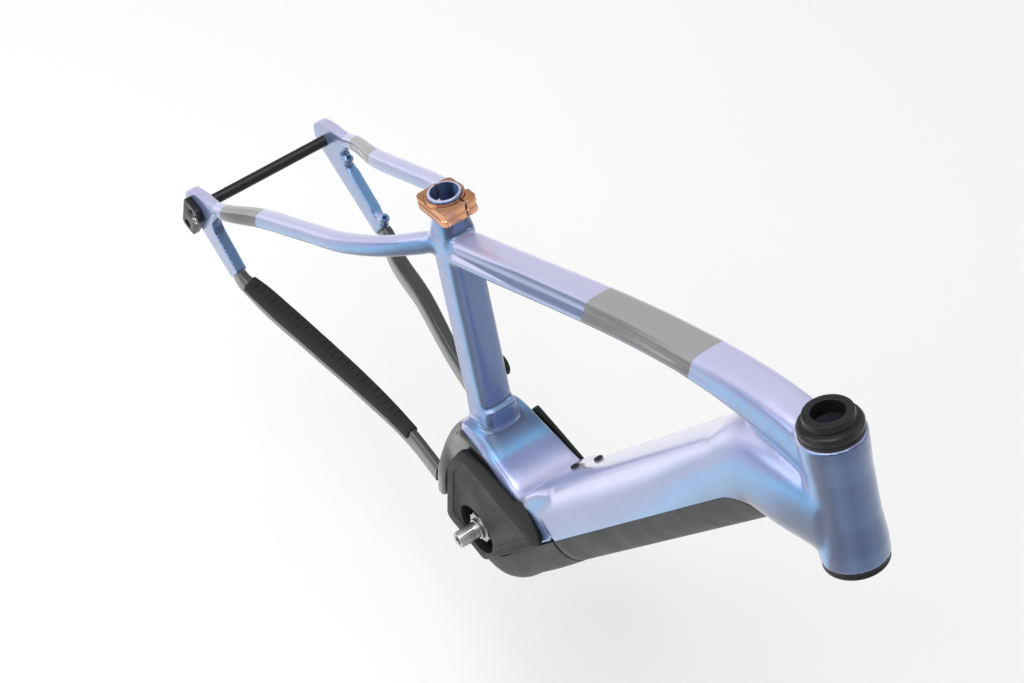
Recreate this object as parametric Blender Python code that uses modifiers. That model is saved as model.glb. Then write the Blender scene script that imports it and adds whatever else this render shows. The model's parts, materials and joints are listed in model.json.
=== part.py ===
"""Electric mountain bike frame: welded tubes with headset, seat clamp, drive unit, battery and rear axle.

Metres, +Z up. The origin is the middle of the crank axis, +X points forward and +Y to the rider's left.
"""

import math
from collections import namedtuple

import bmesh
import bpy
import numpy as np
from mathutils import Matrix, Vector

# Clearances
GAP = 0.0003  # between pieces that are welded, pressed or bolted together
RUNNING_GAP = 0.0006  # between pieces that turn or slide on each other
BATTERY_CLEARANCE = 0.0015  # round the battery in its bay
SKID_GAP = 0.0045  # room for the cover's lower edge as the battery swings

# Head tube
REACH = 0.383  # from the crank axis forward to the top of the head tube
STACK = 0.6275  # from the crank axis up to the top of the head tube
HEAD_ANGLE = math.radians(66.0)
HEAD_LENGTH = 0.122
HEAD_TOP_RADIUS = 0.0282
HEAD_WAIST_RADIUS = 0.0270
HEAD_BOTTOM_RADIUS = 0.0288
UPPER_BORE = 0.0220
LOWER_BORE = 0.0258
STEERER_BORE = 0.0200

# Headset
CUP_DEPTH = 0.0140
CUP_FLANGE = 0.0030
CUP_WALL = 0.0012
CUP_LIP = 0.0030
BEARING_HEIGHT = 0.0070
BEARING_THICKNESS = 0.0045
RACE_WALL = 0.0010
COVER_HEIGHT = 0.0160
COVER_INSET = 0.0012

# Seat tube
SEAT_ANGLE = math.radians(72.0)
SEAT_SETBACK = 0.0095  # how far its axis passes behind the crank axis
SEAT_TUBE_BASE = 0.130  # where the bracket's stub ends, along the seat axis
SEAT_TUBE_ABOVE = 0.062  # how far it stands above the top tube's axis
SEAT_TUBE_HALF = 0.0185
SEAT_TOP_RADIUS = 0.0165
SEAT_BORE = 0.0137
SEAT_SLOT_WIDTH = 0.0025
SEAT_SLOT_LENGTH = 0.030
STUB_EXTRA = 0.0012  # the bracket's stub stands this proud of the seat tube

# Seat clamp
CLAMP_HALF = 0.0200
CLAMP_HEIGHT = 0.0170
CLAMP_FRONT = 0.0255  # from the seat axis to its front face
CLAMP_REAR = 0.0225
CLAMP_SLOT = 0.0022
CLAMP_SLOT_LEFT = 0.0060  # the slot lies this far left of the middle plane
CLAMP_BOLT_RADIUS = 0.0018
CLAMP_BOLT_HEAD = 0.0032
CLAMP_BOLT_SPREAD = 0.0044
CLAMP_BOLT_REACH = 0.0210
CLAMP_BOLT_LENGTH = 0.024

# Top tube
TOP_TUBE_SEAT_LENGTH = 0.3320  # where its axis meets the seat axis, from the crank
TOP_TUBE_HEAD_DROP = 0.0315  # where its axis meets the head axis, below the top
TOP_TUBE_SEAT_ANGLE = math.radians(33.7)
TOP_TUBE_HEAD_ANGLE = math.radians(4.2)
TOP_TUBE_SEAT_PULL = 0.2316  # how long it keeps each end's direction
TOP_TUBE_HEAD_PULL = 0.1485
TOP_TUBE_SEAT_HALF_WIDTH = 0.0185
TOP_TUBE_HEAD_HALF_WIDTH = 0.0220
TOP_TUBE_SEAT_HALF_HEIGHT = 0.0145
TOP_TUBE_HEAD_HALF_HEIGHT = 0.0245
TOP_TUBE_FLARE = 0.62  # from this share of its length it deepens towards the head tube
TOP_TUBE_SHELF = 0.20  # how much narrower its upper half is at the seat tube
TUBE_WALL = 0.0022

# Down tube
DOWN_ANGLE = math.radians(60.0)
DOWN_OFFSET = 0.0255  # its axis passes this far in front of the crank axis
DOWN_HALF_WIDTH = 0.0400
DOWN_HALF_DEPTH = 0.0430
DOWN_POWER = 2.8
DOWN_WALL = 0.0030
DOWN_START = 0.155  # its lower end, along its axis
DOWN_HEAD_HALF_WIDTH = 0.0300
DOWN_HEAD_HALF_DEPTH = 0.0400
DOWN_HEAD_RISE = 0.0390  # where its middle meets the head tube, above the lower end
COVER_SPLIT = 0.0098  # its sides end this far below its axis

# Battery
BATTERY_LENGTH = 0.406
BATTERY_START = 0.1600  # along the down tube
COVER_START = 0.1580
COVER_NOSE = 0.046  # length of the cover's sloping front end
COVER_NOSE_LIP = 0.0290  # how far below the axis the nose's tip begins
COVER_WALL = 0.0025
COVER_OVERHANG = 0.0060  # past the front of the battery
PIVOT_START = 0.1530
PIVOT_DROP = 0.0335
PIVOT_RADIUS = 0.0022
PIVOT_LUG_RADIUS = 0.0052
PIVOT_LUG_HALF = 0.0075
PIVOT_EAR = 0.0055
SOCKET_HALF_WIDTH = 0.0200
SOCKET_LENGTH = 0.0220
LOCK_GAP = 0.0130  # room in front of the battery for its swing
LOCK_LENGTH = 0.0260
LOCK_HALF_DEPTH = 0.0120
LOCK_CYLINDER_RADIUS = 0.0070
LOCK_CAM_HALF = 0.0042  # half the thickness and half the width of the cam
LOCK_CAM_HOLD = 0.0045  # how far the cam reaches into the battery

# Motor bracket and drive unit
BRACKET_HALF_THICKNESS = 0.0080
BRACKET_WAIST = 0.0315  # half width where the seat tube stands
YOKE_BACK = 0.0660
YOKE_HALF_WIDTH = 0.0475
YOKE_TOP = 0.0240
YOKE_BOTTOM = -0.0220
CHEEK_INNER = 0.0345
CHEEK_OUTER = 0.0388
CHEEK_CORNER = 0.0080
DRIVE_HALF_WIDTH = 0.0330
DRIVE_CORNER = 0.0160
DRIVE_EDGE = 0.0060
SIDE_COVER_DEPTH = 0.0110
SIDE_COVER_WALL = 0.0024
SIDE_COVER_CORNER = 0.0100
SIDE_COVER_EDGE = 0.0040
COVER_REVEAL = 0.0015
SKID_TURN = 0.025  # behind the crank axis, along the down tube
SKID_BEND = 0.004
SKID_LENGTH = 0.045  # its level part
SPINDLE_RADIUS = 0.0110
SPINDLE_HALF_LENGTH = 0.0725
SPINDLE_BEARING_RADIUS = 0.0185
SPINDLE_BEARING_WIDTH = 0.0080
OUTPUT_HUB_RADIUS = 0.0190
OUTPUT_HUB_WIDTH = 0.0130
MOTOR_BOLT_RADIUS = 0.0039
MOTOR_BOLT_HEAD = 0.0062
MOTOR_BOLT_HEAD_HEIGHT = 0.0040
MOTOR_BOLT_GRIP = 0.0120
MOTOR_BOLT_DROP = 0.0100  # the rear pair, below the middle of the yoke

# Rear end
CHAINSTAY_LENGTH = 0.4600
CRANK_DROP = 0.058  # the crank axis is this far below the rear axle
AXLE_SPACING = 0.148
DROPOUT_THICKNESS = 0.0120
DROPOUT_RADIUS = 0.0215
PLATE_EDGE = 0.0012
SEAT_ARM_LENGTH = 0.045
SEAT_ARM_HALF = 0.0090
SEAT_ARM_RISE = 0.0060  # its middle line passes this far above the axle
CHAIN_ARM_HALF = 0.0130
RIGHT_CHAIN_ARM = 0.080
RIGHT_CHAIN_ARM_ANGLE = math.radians(-30.0)
LEFT_CHAIN_ARM = 0.114
LEFT_CHAIN_ARM_ANGLE = math.radians(-26.0)
SEATSTAY_RISE = 0.008  # the stays meet the seat tube this far above the top tube
SEATSTAY_SPREAD = 0.0630  # from the middle plane, beside the tyre
SEATSTAY_HALF_WIDTH = 0.0080
SEATSTAY_HALF_HEIGHT = 0.0100
CHAINSTAY_SPREAD = 0.0640
CHAINSTAY_FRONT = 0.0420  # from the middle plane, between tyre and chainring
CHAINSTAY_HALF_WIDTH = 0.0085
CHAINSTAY_FRONT_HALF_WIDTH = 0.0052
CHAINSTAY_HALF_HEIGHT = 0.0135
CHAINSTAY_STRAIGHT = 0.006  # in line with the dropout before it turns
CHAINSTAY_TURN = 0.018
STAY_WALL = 0.0018
GUARD_WALL = 0.0016
AXLE_RADIUS = 0.0060
AXLE_BORE = 0.0034
AXLE_HEAD_RADIUS = 0.0095
AXLE_HEAD_HEIGHT = 0.0050
HANGER_THICKNESS = 0.0070
HANGER_DROP = 0.0290
HANGER_BACK = 0.0090
HANGER_EYE = 0.0120
HANGER_CORNER = 0.0060
HANGER_EDGE = 0.0008
HANGER_BOLT_RADIUS = 0.0024
BRAKE_POST_SPACING = 0.0742
BRAKE_POST_START = 0.0315
BRAKE_POST_RADIUS = 0.0060
BRAKE_POST_HEIGHT = 0.0095

# Bottle bolts and charge socket
BOTTLE_BOLT_START = 0.2016
BOTTLE_BOLT_SPACING = 0.064
BOTTLE_BOLT_RADIUS = 0.0024
BOTTLE_BOLT_HEAD = 0.0046
BOTTLE_BOLT_HEAD_HEIGHT = 0.0032
CHARGE_LENGTH = 0.168  # along the seat axis
CHARGE_BARREL = 0.0088
CHARGE_FLANGE = 0.0118
CHARGE_FLANGE_HEIGHT = 0.0016
CHARGE_DEPTH = 0.0150
CHARGE_CAP_HEIGHT = 0.0030

RING_POINTS = 20
TURNED_STEPS = 24

HEAD_AXIS = Vector((-math.cos(HEAD_ANGLE), 0, math.sin(HEAD_ANGLE)))
HEAD_TOP = Vector((REACH, 0, STACK))
SEAT_AXIS = Vector((-math.cos(SEAT_ANGLE), 0, math.sin(SEAT_ANGLE)))
SEAT_FRONT = Vector((math.sin(SEAT_ANGLE), 0, math.cos(SEAT_ANGLE)))
DOWN_AXIS = Vector((math.cos(DOWN_ANGLE), 0, math.sin(DOWN_ANGLE)))
DOWN_NORMAL = Vector((math.sin(DOWN_ANGLE), 0, -math.cos(DOWN_ANGLE)))
SIDE = Vector((0, 1, 0))
AXLE = Vector((-math.sqrt(CHAINSTAY_LENGTH**2 - CRANK_DROP**2), 0, CRANK_DROP))
SEAT_TUBE_TOP = TOP_TUBE_SEAT_LENGTH + SEAT_TUBE_ABOVE
SEATSTAY_SEAT_LENGTH = TOP_TUBE_SEAT_LENGTH + SEATSTAY_RISE
DOWN_HEAD_DROP = HEAD_LENGTH - DOWN_HEAD_RISE
BATTERY_END = BATTERY_START + BATTERY_LENGTH
COVER_END = BATTERY_END + COVER_OVERHANG
LEG_EDGE = COVER_SPLIT + GAP
COVER_SIDE = CHEEK_OUTER + GAP

FINISHES = {
    "frame_paint": ((0.33, 0.40, 0.72), 0.30, 0.7),
    "stay_paint": ((0.05, 0.05, 0.055), 0.45, 0.2),
    "cover_plastic": ((0.09, 0.09, 0.095), 0.50, 0.0),
    "motor_plastic": ((0.035, 0.035, 0.037), 0.55, 0.0),
    "motor_casting": ((0.16, 0.16, 0.165), 0.45, 0.8),
    "clamp_copper": ((0.72, 0.40, 0.28), 0.22, 1.0),
    "steel": ((0.55, 0.55, 0.56), 0.30, 1.0),
    "black_alloy": ((0.03, 0.03, 0.032), 0.38, 0.6),
    "bare_alloy": ((0.62, 0.62, 0.63), 0.35, 1.0),
    "rubber": ((0.02, 0.02, 0.02), 0.75, 0.0),
}

Row = namedtuple("Row", "x y z half_width half_height power shelf", defaults=(0.0,))


def clear_scene():
    for obj in list(bpy.data.objects):
        bpy.data.objects.remove(obj, do_unlink=True)


def new_collection(name):
    collection = bpy.data.collections.new(name)
    bpy.context.scene.collection.children.link(collection)
    return collection


clear_scene()
PARTS = new_collection("bicycle_frame")
CUTTERS = new_collection("frame_cutters")


def make_materials():
    materials = {}
    for name, (colour, roughness, metallic) in FINISHES.items():
        material = bpy.data.materials.new(name)
        material.use_nodes = True
        shader = material.node_tree.nodes["Principled BSDF"]
        shader.inputs["Base Color"].default_value = (*colour, 1.0)
        shader.inputs["Roughness"].default_value = roughness
        shader.inputs["Metallic"].default_value = metallic
        materials[name] = material
    return materials


MATERIALS = make_materials()


def add_object(name, mesh, finish, matrix=None):
    """A part, or a cutter where no finish is given."""
    obj = bpy.data.objects.new(name, mesh)
    if finish is None:
        CUTTERS.objects.link(obj)
        obj.hide_render = True
        obj.display_type = "WIRE"
    else:
        PARTS.objects.link(obj)
        mesh.materials.append(MATERIALS[finish])
        mesh.shade_smooth()
        mesh.set_sharp_from_angle(angle=math.radians(35))
    if matrix is not None:
        obj.matrix_world = matrix
    return obj


def boolean(target, other, operation):
    modifier = target.modifiers.new(f"{operation.lower()} {other.name}", "BOOLEAN")
    modifier.operation = operation
    modifier.solver = "EXACT"
    modifier.object = other


def cut(target, *cutters):
    for cutter in cutters:
        boolean(target, cutter, "DIFFERENCE")


def join(target, *others):
    for other in others:
        boolean(target, other, "UNION")


def on_axis(origin, axis):
    """The matrix that lays a shape made along +Z on an axis."""
    return Matrix.Translation(origin) @ axis.to_track_quat("Z", "Y").to_matrix().to_4x4()


def signed_power(value, power):
    return math.copysign(abs(value) ** power, value)


def section(row, angles, inset=0.0):
    """Points of a rounded section, as distances to the side and upwards."""
    half_width = row.half_width - inset
    half_height = row.half_height - inset
    points = []
    for angle in angles:
        across = signed_power(math.cos(angle), 2 / row.power)
        upwards = signed_power(math.sin(angle), 2 / row.power)
        step = min(max((upwards + 0.30) / 0.50, 0.0), 1.0)
        narrowing = 1 - row.shelf * step * step * (3 - 2 * step)
        points.append((half_width * across * narrowing, half_height * upwards))
    return points


def dense(rows, per_span):
    """Rows filled in along a smooth curve that passes through each of them."""
    table = np.array(rows, float)
    steps = np.linalg.norm(np.diff(table[:, :3], axis=0), axis=1)
    along = np.concatenate([[0.0], np.cumsum(steps)])
    slopes = np.gradient(table, along, axis=0)
    filled = []
    for i, length in enumerate(steps):
        for t in np.arange(per_span) / per_span:
            start = (1 + 2 * t) * (1 - t) ** 2 * table[i] + t * t * (3 - 2 * t) * table[i + 1]
            lean = t * (1 - t) ** 2 * slopes[i] - t * t * (1 - t) * slopes[i + 1]
            filled.append(start + length * lean)
    filled.append(table[-1])
    return [Row(*values) for values in filled]


def placed(rows, sections):
    """Each row's section, set square to the path through the rows."""
    centres = np.array([row[:3] for row in rows])
    tangents = np.gradient(centres, axis=0)
    rings = []
    for row, tangent, points in zip(rows, tangents, sections):
        forward = Vector(tangent).normalized()
        side = (SIDE - forward * forward.y).normalized()
        up = forward.cross(side)
        centre = Vector(row[:3])
        rings.append([centre + side * across + up * upwards for across, upwards in points])
    return rings


def bridge(mesh, rings):
    for first, second in zip(rings, rings[1:]):
        for i in range(len(first)):
            j = (i + 1) % len(first)
            mesh.faces.new((first[i], first[j], second[j], second[i]))


def skin(name, outer, inner=None):
    """A closed mesh over rings of points; with an inner set it is a pipe that is open at both ends."""
    mesh = bmesh.new()
    shell = [[mesh.verts.new(point) for point in ring] for ring in outer]
    bridge(mesh, shell)
    if inner is None:
        mesh.faces.new(shell[0])
        mesh.faces.new(shell[-1])
    else:
        core = [[mesh.verts.new(point) for point in ring] for ring in inner]
        bridge(mesh, core)
        bridge(mesh, [shell[0], core[0]])
        bridge(mesh, [shell[-1], core[-1]])
    bmesh.ops.recalc_face_normals(mesh, faces=mesh.faces)
    data = bpy.data.meshes.new(name)
    mesh.to_mesh(data)
    mesh.free()
    return data


def circle_angles(count=RING_POINTS):
    return [2 * math.pi * (i + 0.5) / count for i in range(count)]


def loft(name, rows, finish, wall=None, grow=0.0, bore=None, count=RING_POINTS):
    angles = circle_angles(count)
    outer = placed(rows, [section(row, angles, -grow) for row in rows])
    inner = None
    if bore is not None:
        circle = [(bore * math.cos(angle), bore * math.sin(angle)) for angle in angles]
        inner = placed(rows, [circle] * len(rows))
    elif wall is not None:
        inner = placed(rows, [section(row, angles, wall) for row in rows])
    return add_object(name, skin(name, outer, inner), finish)


def channel(name, rows, edges, wall, finish, grow=0.0, upper=False, count=12):
    """A trough: the part of a tube's wall that lies further than each edge from the tube's axis."""
    sections = []
    for row, edge in zip(rows, edges):
        polygon = []
        for inset in (-grow - wall, -grow) if upper else (-grow, wall - grow):
            lift = math.asin((edge / (row.half_height - inset)) ** (row.power / 2))
            start, end = (lift, math.pi - lift) if upper else (math.pi + lift, 2 * math.pi - lift)
            turn = [start + (end - start) * i / count for i in range(count + 1)]
            points = section(row, turn, inset)
            polygon += points if not polygon else points[::-1]
        sections.append(polygon)
    return add_object(name, skin(name, placed(rows, sections)), finish)


def turned(name, profile, finish, matrix, steps=TURNED_STEPS, ring=True):
    """A profile of (radius, height) points, outer side first from the top down, spun about +Z."""
    mesh = bpy.data.meshes.new(name)
    points = [(radius, 0.0, height) for radius, height in profile]
    edges = [(i, i + 1) for i in range(len(points) - 1)]
    if ring:
        edges.append((len(points) - 1, 0))
    mesh.from_pydata(points, edges, [])
    obj = add_object(name, mesh, finish, matrix)
    screw = obj.modifiers.new("turn", "SCREW")
    screw.axis = "Z"
    screw.angle = 2 * math.pi
    screw.steps = steps
    screw.render_steps = steps
    screw.use_merge_vertices = True
    screw.merge_threshold = 0.00001
    screw.use_smooth_shade = True
    return obj


def rounded(corners, radius, steps=3):
    """An outline whose corners are arcs of one radius, less where an edge is too short."""
    corners = [Vector(corner) for corner in corners]
    outline = []
    for i, corner in enumerate(corners):
        back = corners[i - 1] - corner
        ahead = corners[(i + 1) % len(corners)] - corner
        half = back.angle(ahead) / 2
        reach = min(radius / math.tan(half), 0.45 * min(back.length, ahead.length))
        centre = corner + (back.normalized() + ahead.normalized()).normalized() * (reach / math.cos(half))
        first = corner + back.normalized() * reach - centre
        last = corner + ahead.normalized() * reach - centre
        turn = first.angle_signed(last)
        for step in range(steps + 1):
            angle = -turn * step / steps
            outline.append(centre + Matrix.Rotation(angle, 2) @ first)
    return outline


def extruded(name, outline, thickness, finish, matrix, bevel=0.0):
    """A flat outline in the matrix's XY plane, given a thickness on both sides of it."""
    curve = bpy.data.curves.new(name, "CURVE")
    curve.dimensions = "2D"
    curve.fill_mode = "BOTH"
    curve.extrude = thickness / 2
    spline = curve.splines.new("POLY")
    spline.points.add(len(outline) - 1)
    for point, place in zip(spline.points, outline):
        point.co = (place[0], place[1], 0.0, 1.0)
    spline.use_cyclic_u = True
    guide = bpy.data.objects.new(f"{name}_outline", curve)
    PARTS.objects.link(guide)
    graph = bpy.context.evaluated_depsgraph_get()
    data = bpy.data.meshes.new_from_object(guide.evaluated_get(graph))
    bpy.data.objects.remove(guide, do_unlink=True)
    mesh = bmesh.new()
    mesh.from_mesh(data)
    bmesh.ops.remove_doubles(mesh, verts=mesh.verts, dist=0.00001)
    bmesh.ops.dissolve_limit(mesh, angle_limit=math.radians(1), verts=mesh.verts, edges=mesh.edges)
    bmesh.ops.recalc_face_normals(mesh, faces=mesh.faces)
    mesh.to_mesh(data)
    mesh.free()
    data.name = name
    obj = add_object(name, data, finish, matrix)
    if bevel:
        modifier = obj.modifiers.new("rounded edges", "BEVEL")
        modifier.width = bevel
        modifier.segments = 2
        modifier.limit_method = "ANGLE"
        modifier.angle_limit = math.radians(50)
    return obj


def side_plate(name, outline, low, high, finish, bevel=0.0):
    """An outline in the side plane (forward, up), from one distance to the left to another."""
    upright = Matrix.Translation((0, (low + high) / 2, 0)) @ Matrix.Rotation(math.pi / 2, 4, "X")
    return extruded(name, outline, high - low, finish, upright, bevel)


def block(name, size, finish, matrix):
    mesh = bmesh.new()
    bmesh.ops.create_cube(mesh, size=1.0, matrix=Matrix.Diagonal((*size, 1.0)))
    data = bpy.data.meshes.new(name)
    mesh.to_mesh(data)
    mesh.free()
    return add_object(name, data, finish, matrix)


def drill(name, origin, axis, radius, length, finish=None, segments=18):
    """A round cutter whose middle is at the origin."""
    mesh = bmesh.new()
    bmesh.ops.create_cone(
        mesh, cap_ends=True, segments=segments, radius1=radius, radius2=radius, depth=length
    )
    data = bpy.data.meshes.new(name)
    mesh.to_mesh(data)
    mesh.free()
    return add_object(name, data, finish, on_axis(origin, axis))


def head_at(drop):
    return HEAD_TOP - HEAD_AXIS * drop


def seat_at(length):
    return Vector((-SEAT_SETBACK, 0, 0)) + SEAT_AXIS * length


def down_at(along, below=0.0, left=0.0):
    """A point by its place along the down tube, below its axis and to the left."""
    return DOWN_AXIS * along + DOWN_NORMAL * (DOWN_OFFSET + below) + SIDE * left


def flat(point):
    return (point.x, point.z)


def down_frame(along, below, left=0.0):
    """Local X along the down tube, Y to the left and Z away from its underside."""
    axes = Matrix((DOWN_AXIS, SIDE, -DOWN_NORMAL)).transposed().to_4x4()
    return Matrix.Translation(down_at(along, below, left)) @ axes


def row_at(point, half_width, half_height, power, shelf=0.0):
    return Row(*point, half_width, half_height, power, shelf)


def head_tube():
    top = 0.0
    low = -HEAD_LENGTH
    profile = [
        (HEAD_TOP_RADIUS, top),
        (HEAD_TOP_RADIUS, -0.10 * HEAD_LENGTH),
        (HEAD_WAIST_RADIUS, -0.28 * HEAD_LENGTH),
        (HEAD_WAIST_RADIUS, -0.66 * HEAD_LENGTH),
        (HEAD_BOTTOM_RADIUS, -0.88 * HEAD_LENGTH),
        (HEAD_BOTTOM_RADIUS, low),
        (LOWER_BORE, low),
        (LOWER_BORE, low + CUP_DEPTH),
        (STEERER_BORE, low + CUP_DEPTH),
        (STEERER_BORE, top - CUP_DEPTH),
        (UPPER_BORE, top - CUP_DEPTH),
        (UPPER_BORE, top),
    ]
    return turned("head_tube", profile, "frame_paint", on_axis(HEAD_TOP, HEAD_AXIS))


def headset_end(prefix, bore, flange_radius, face, upwards):
    """Cup and bearing at one end of the head tube, made for the upper end and turned over for the lower."""
    axis = HEAD_AXIS * upwards
    matrix = on_axis(face, axis)
    seat = bore - GAP - CUP_WALL
    floor = -CUP_DEPTH + GAP
    cup = [
        (flange_radius, GAP + CUP_FLANGE),
        (flange_radius, GAP),
        (bore - GAP, GAP),
        (bore - GAP, floor),
        (seat - CUP_LIP, floor),
        (seat - CUP_LIP, floor + CUP_LIP),
        (seat, floor + CUP_LIP),
        (seat, GAP + CUP_FLANGE),
    ]
    turned(f"{prefix}_headset_cup", cup, "black_alloy", matrix)
    base = floor + CUP_LIP + GAP
    outer = seat - GAP
    inner = outer - BEARING_THICKNESS
    bearing = [
        (outer, base + BEARING_HEIGHT),
        (outer, base),
        (inner, base),
        (inner, base + BEARING_HEIGHT),
    ]
    turned(f"{prefix}_bearing", bearing, "steel", matrix)
    return matrix, inner, base + BEARING_HEIGHT


def upper_headset():
    matrix, bearing_bore, bearing_top = headset_end(
        "upper", UPPER_BORE, HEAD_TOP_RADIUS - COVER_INSET, HEAD_TOP, 1
    )
    neck = bearing_bore - RUNNING_GAP
    bore = neck - RACE_WALL
    shelf = bearing_top + RUNNING_GAP
    top = GAP + CUP_FLANGE + RUNNING_GAP
    ring_top = top + 0.15 * COVER_HEIGHT
    ring = [
        (bearing_bore + RACE_WALL, ring_top),
        (bearing_bore + RACE_WALL, shelf),
        (neck, shelf),
        (neck, bearing_top - BEARING_HEIGHT),
        (bore, bearing_top - BEARING_HEIGHT),
        (bore, ring_top),
    ]
    turned("compression_ring", ring, "bare_alloy", matrix)
    brim = HEAD_TOP_RADIUS - COVER_INSET
    collar = bearing_bore + 3 * RACE_WALL
    cover = [
        (collar + 2 * RACE_WALL, top + COVER_HEIGHT),
        (collar + 3 * RACE_WALL, top + 0.60 * COVER_HEIGHT),
        (brim - 2 * RACE_WALL, top + 0.46 * COVER_HEIGHT),
        (brim - RACE_WALL, top + 0.40 * COVER_HEIGHT),
        (brim, top + 0.30 * COVER_HEIGHT),
        (brim, top),
        (bearing_bore + RACE_WALL + GAP, top),
        (bearing_bore + RACE_WALL + GAP, ring_top + GAP),
        (bore, ring_top + GAP),
        (bore, top + COVER_HEIGHT),
    ]
    turned("headset_cover", cover, "black_alloy", matrix)


def lower_headset():
    matrix, bearing_bore, bearing_top = headset_end(
        "lower", LOWER_BORE, HEAD_BOTTOM_RADIUS - COVER_INSET, head_at(HEAD_LENGTH), -1
    )
    neck = bearing_bore - RUNNING_GAP
    face = GAP + CUP_FLANGE + RUNNING_GAP
    race = [
        (HEAD_BOTTOM_RADIUS - COVER_INSET, face + CUP_FLANGE),
        (HEAD_BOTTOM_RADIUS - COVER_INSET, face),
        (neck, face),
        (neck, bearing_top - BEARING_HEIGHT),
        (neck - RACE_WALL, bearing_top - BEARING_HEIGHT),
        (neck - RACE_WALL, face + CUP_FLANGE),
    ]
    turned("crown_race", race, "black_alloy", matrix)


def head_cutter():
    """The head tube with room for the cup and race below it."""
    low = -HEAD_LENGTH - 2 * (CUP_FLANGE + RUNNING_GAP + GAP)
    grown = [
        (HEAD_TOP_RADIUS + GAP, GAP),
        (HEAD_TOP_RADIUS + GAP, -0.10 * HEAD_LENGTH),
        (HEAD_WAIST_RADIUS + GAP, -0.28 * HEAD_LENGTH),
        (HEAD_WAIST_RADIUS + GAP, -0.66 * HEAD_LENGTH),
        (HEAD_BOTTOM_RADIUS + GAP, -0.88 * HEAD_LENGTH),
        (HEAD_BOTTOM_RADIUS + GAP, low),
    ]
    profile = [(0.0, GAP), *grown, (0.0, low)]
    return turned("head_cutter", profile, None, on_axis(HEAD_TOP, HEAD_AXIS), ring=False)


def seat_rows(base, top):
    """Square with rounded corners below, round under the clamp."""
    round_from = SEAT_TUBE_TOP - 1.6 * CLAMP_HEIGHT
    square_to = round_from - CLAMP_HEIGHT
    square = [(level, SEAT_TUBE_HALF, 4.0) for level in (base, 0.5 * (base + square_to), square_to)]
    levels = [*square, (round_from, SEAT_TOP_RADIUS, 2.0), (top, SEAT_TOP_RADIUS, 2.0)]
    return [row_at(seat_at(level), half, half, power) for level, half, power in levels]


def seat_tube():
    rows = seat_rows(SEAT_TUBE_BASE + GAP, SEAT_TUBE_TOP)
    tube = loft("seat_tube", rows, "frame_paint", bore=SEAT_BORE)
    slot_middle = seat_at(SEAT_TUBE_TOP) - SEAT_FRONT * SEAT_TUBE_HALF
    axes = Matrix((SEAT_FRONT, SIDE, SEAT_AXIS)).transposed().to_4x4()
    slot = block(
        "seat_slot_cutter",
        (SEAT_TUBE_HALF, SEAT_SLOT_WIDTH, 2 * SEAT_SLOT_LENGTH),
        None,
        Matrix.Translation(slot_middle) @ axes,
    )
    socket = drill(
        "charge_hole_cutter",
        seat_at(CHARGE_LENGTH) + SIDE * SEAT_TUBE_HALF,
        SIDE,
        CHARGE_BARREL + GAP,
        SEAT_TUBE_HALF,
    )
    cut(tube, slot, socket)


def seat_cutter():
    return loft("seat_cutter", seat_rows(SEAT_TUBE_BASE, SEAT_TUBE_TOP), None, grow=GAP)


def clamp_matrix(level):
    axes = Matrix((SEAT_FRONT, SIDE, SEAT_AXIS)).transposed().to_4x4()
    return Matrix.Translation(seat_at(level)) @ axes


def seat_clamp():
    level = SEAT_TUBE_TOP - 0.5 * CLAMP_HEIGHT - SEAT_SLOT_WIDTH
    matrix = clamp_matrix(level)
    corners = [
        (-CLAMP_REAR, -CLAMP_HALF),
        (CLAMP_FRONT, -CLAMP_HALF),
        (CLAMP_FRONT, CLAMP_HALF),
        (-CLAMP_REAR, CLAMP_HALF),
    ]
    outline = rounded(corners, 0.3 * CLAMP_HALF)
    clamp = extruded("seat_clamp", outline, CLAMP_HEIGHT, "clamp_copper", matrix, 0.06 * CLAMP_HEIGHT)
    bore = drill(
        "clamp_bore_cutter", seat_at(level), SEAT_AXIS, SEAT_TOP_RADIUS + GAP, 2 * CLAMP_HEIGHT, None, 40
    )
    slot = block(
        "clamp_slot_cutter",
        (CLAMP_FRONT, CLAMP_SLOT, 2 * CLAMP_HEIGHT),
        None,
        matrix @ Matrix.Translation((CLAMP_FRONT, CLAMP_SLOT_LEFT, 0)),
    )
    cut(clamp, bore, slot)
    seat = CLAMP_HALF - 1.5 * CLAMP_BOLT_HEAD
    for name, side in (("upper", 1), ("lower", -1)):
        middle = matrix @ Vector((CLAMP_BOLT_REACH, seat, side * CLAMP_BOLT_SPREAD))
        hole = drill(
            f"clamp_hole_{name}_cutter",
            middle,
            SIDE,
            CLAMP_BOLT_RADIUS + GAP,
            2 * CLAMP_BOLT_LENGTH,
            None,
            16,
        )
        recess = drill(
            f"clamp_recess_{name}_cutter",
            middle + SIDE * CLAMP_HALF,
            SIDE,
            CLAMP_BOLT_HEAD + GAP,
            2 * CLAMP_HALF,
            None,
            20,
        )
        cut(clamp, hole, recess)
        profile = [
            (0.0, GAP + CLAMP_BOLT_HEAD),
            (CLAMP_BOLT_HEAD, GAP + CLAMP_BOLT_HEAD),
            (CLAMP_BOLT_HEAD, GAP),
            (CLAMP_BOLT_RADIUS, GAP),
            (CLAMP_BOLT_RADIUS, GAP - CLAMP_BOLT_LENGTH),
            (0.0, GAP - CLAMP_BOLT_LENGTH),
        ]
        turned(f"clamp_bolt_{name}", profile, "steel", on_axis(middle, SIDE), 16, ring=False)


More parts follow.
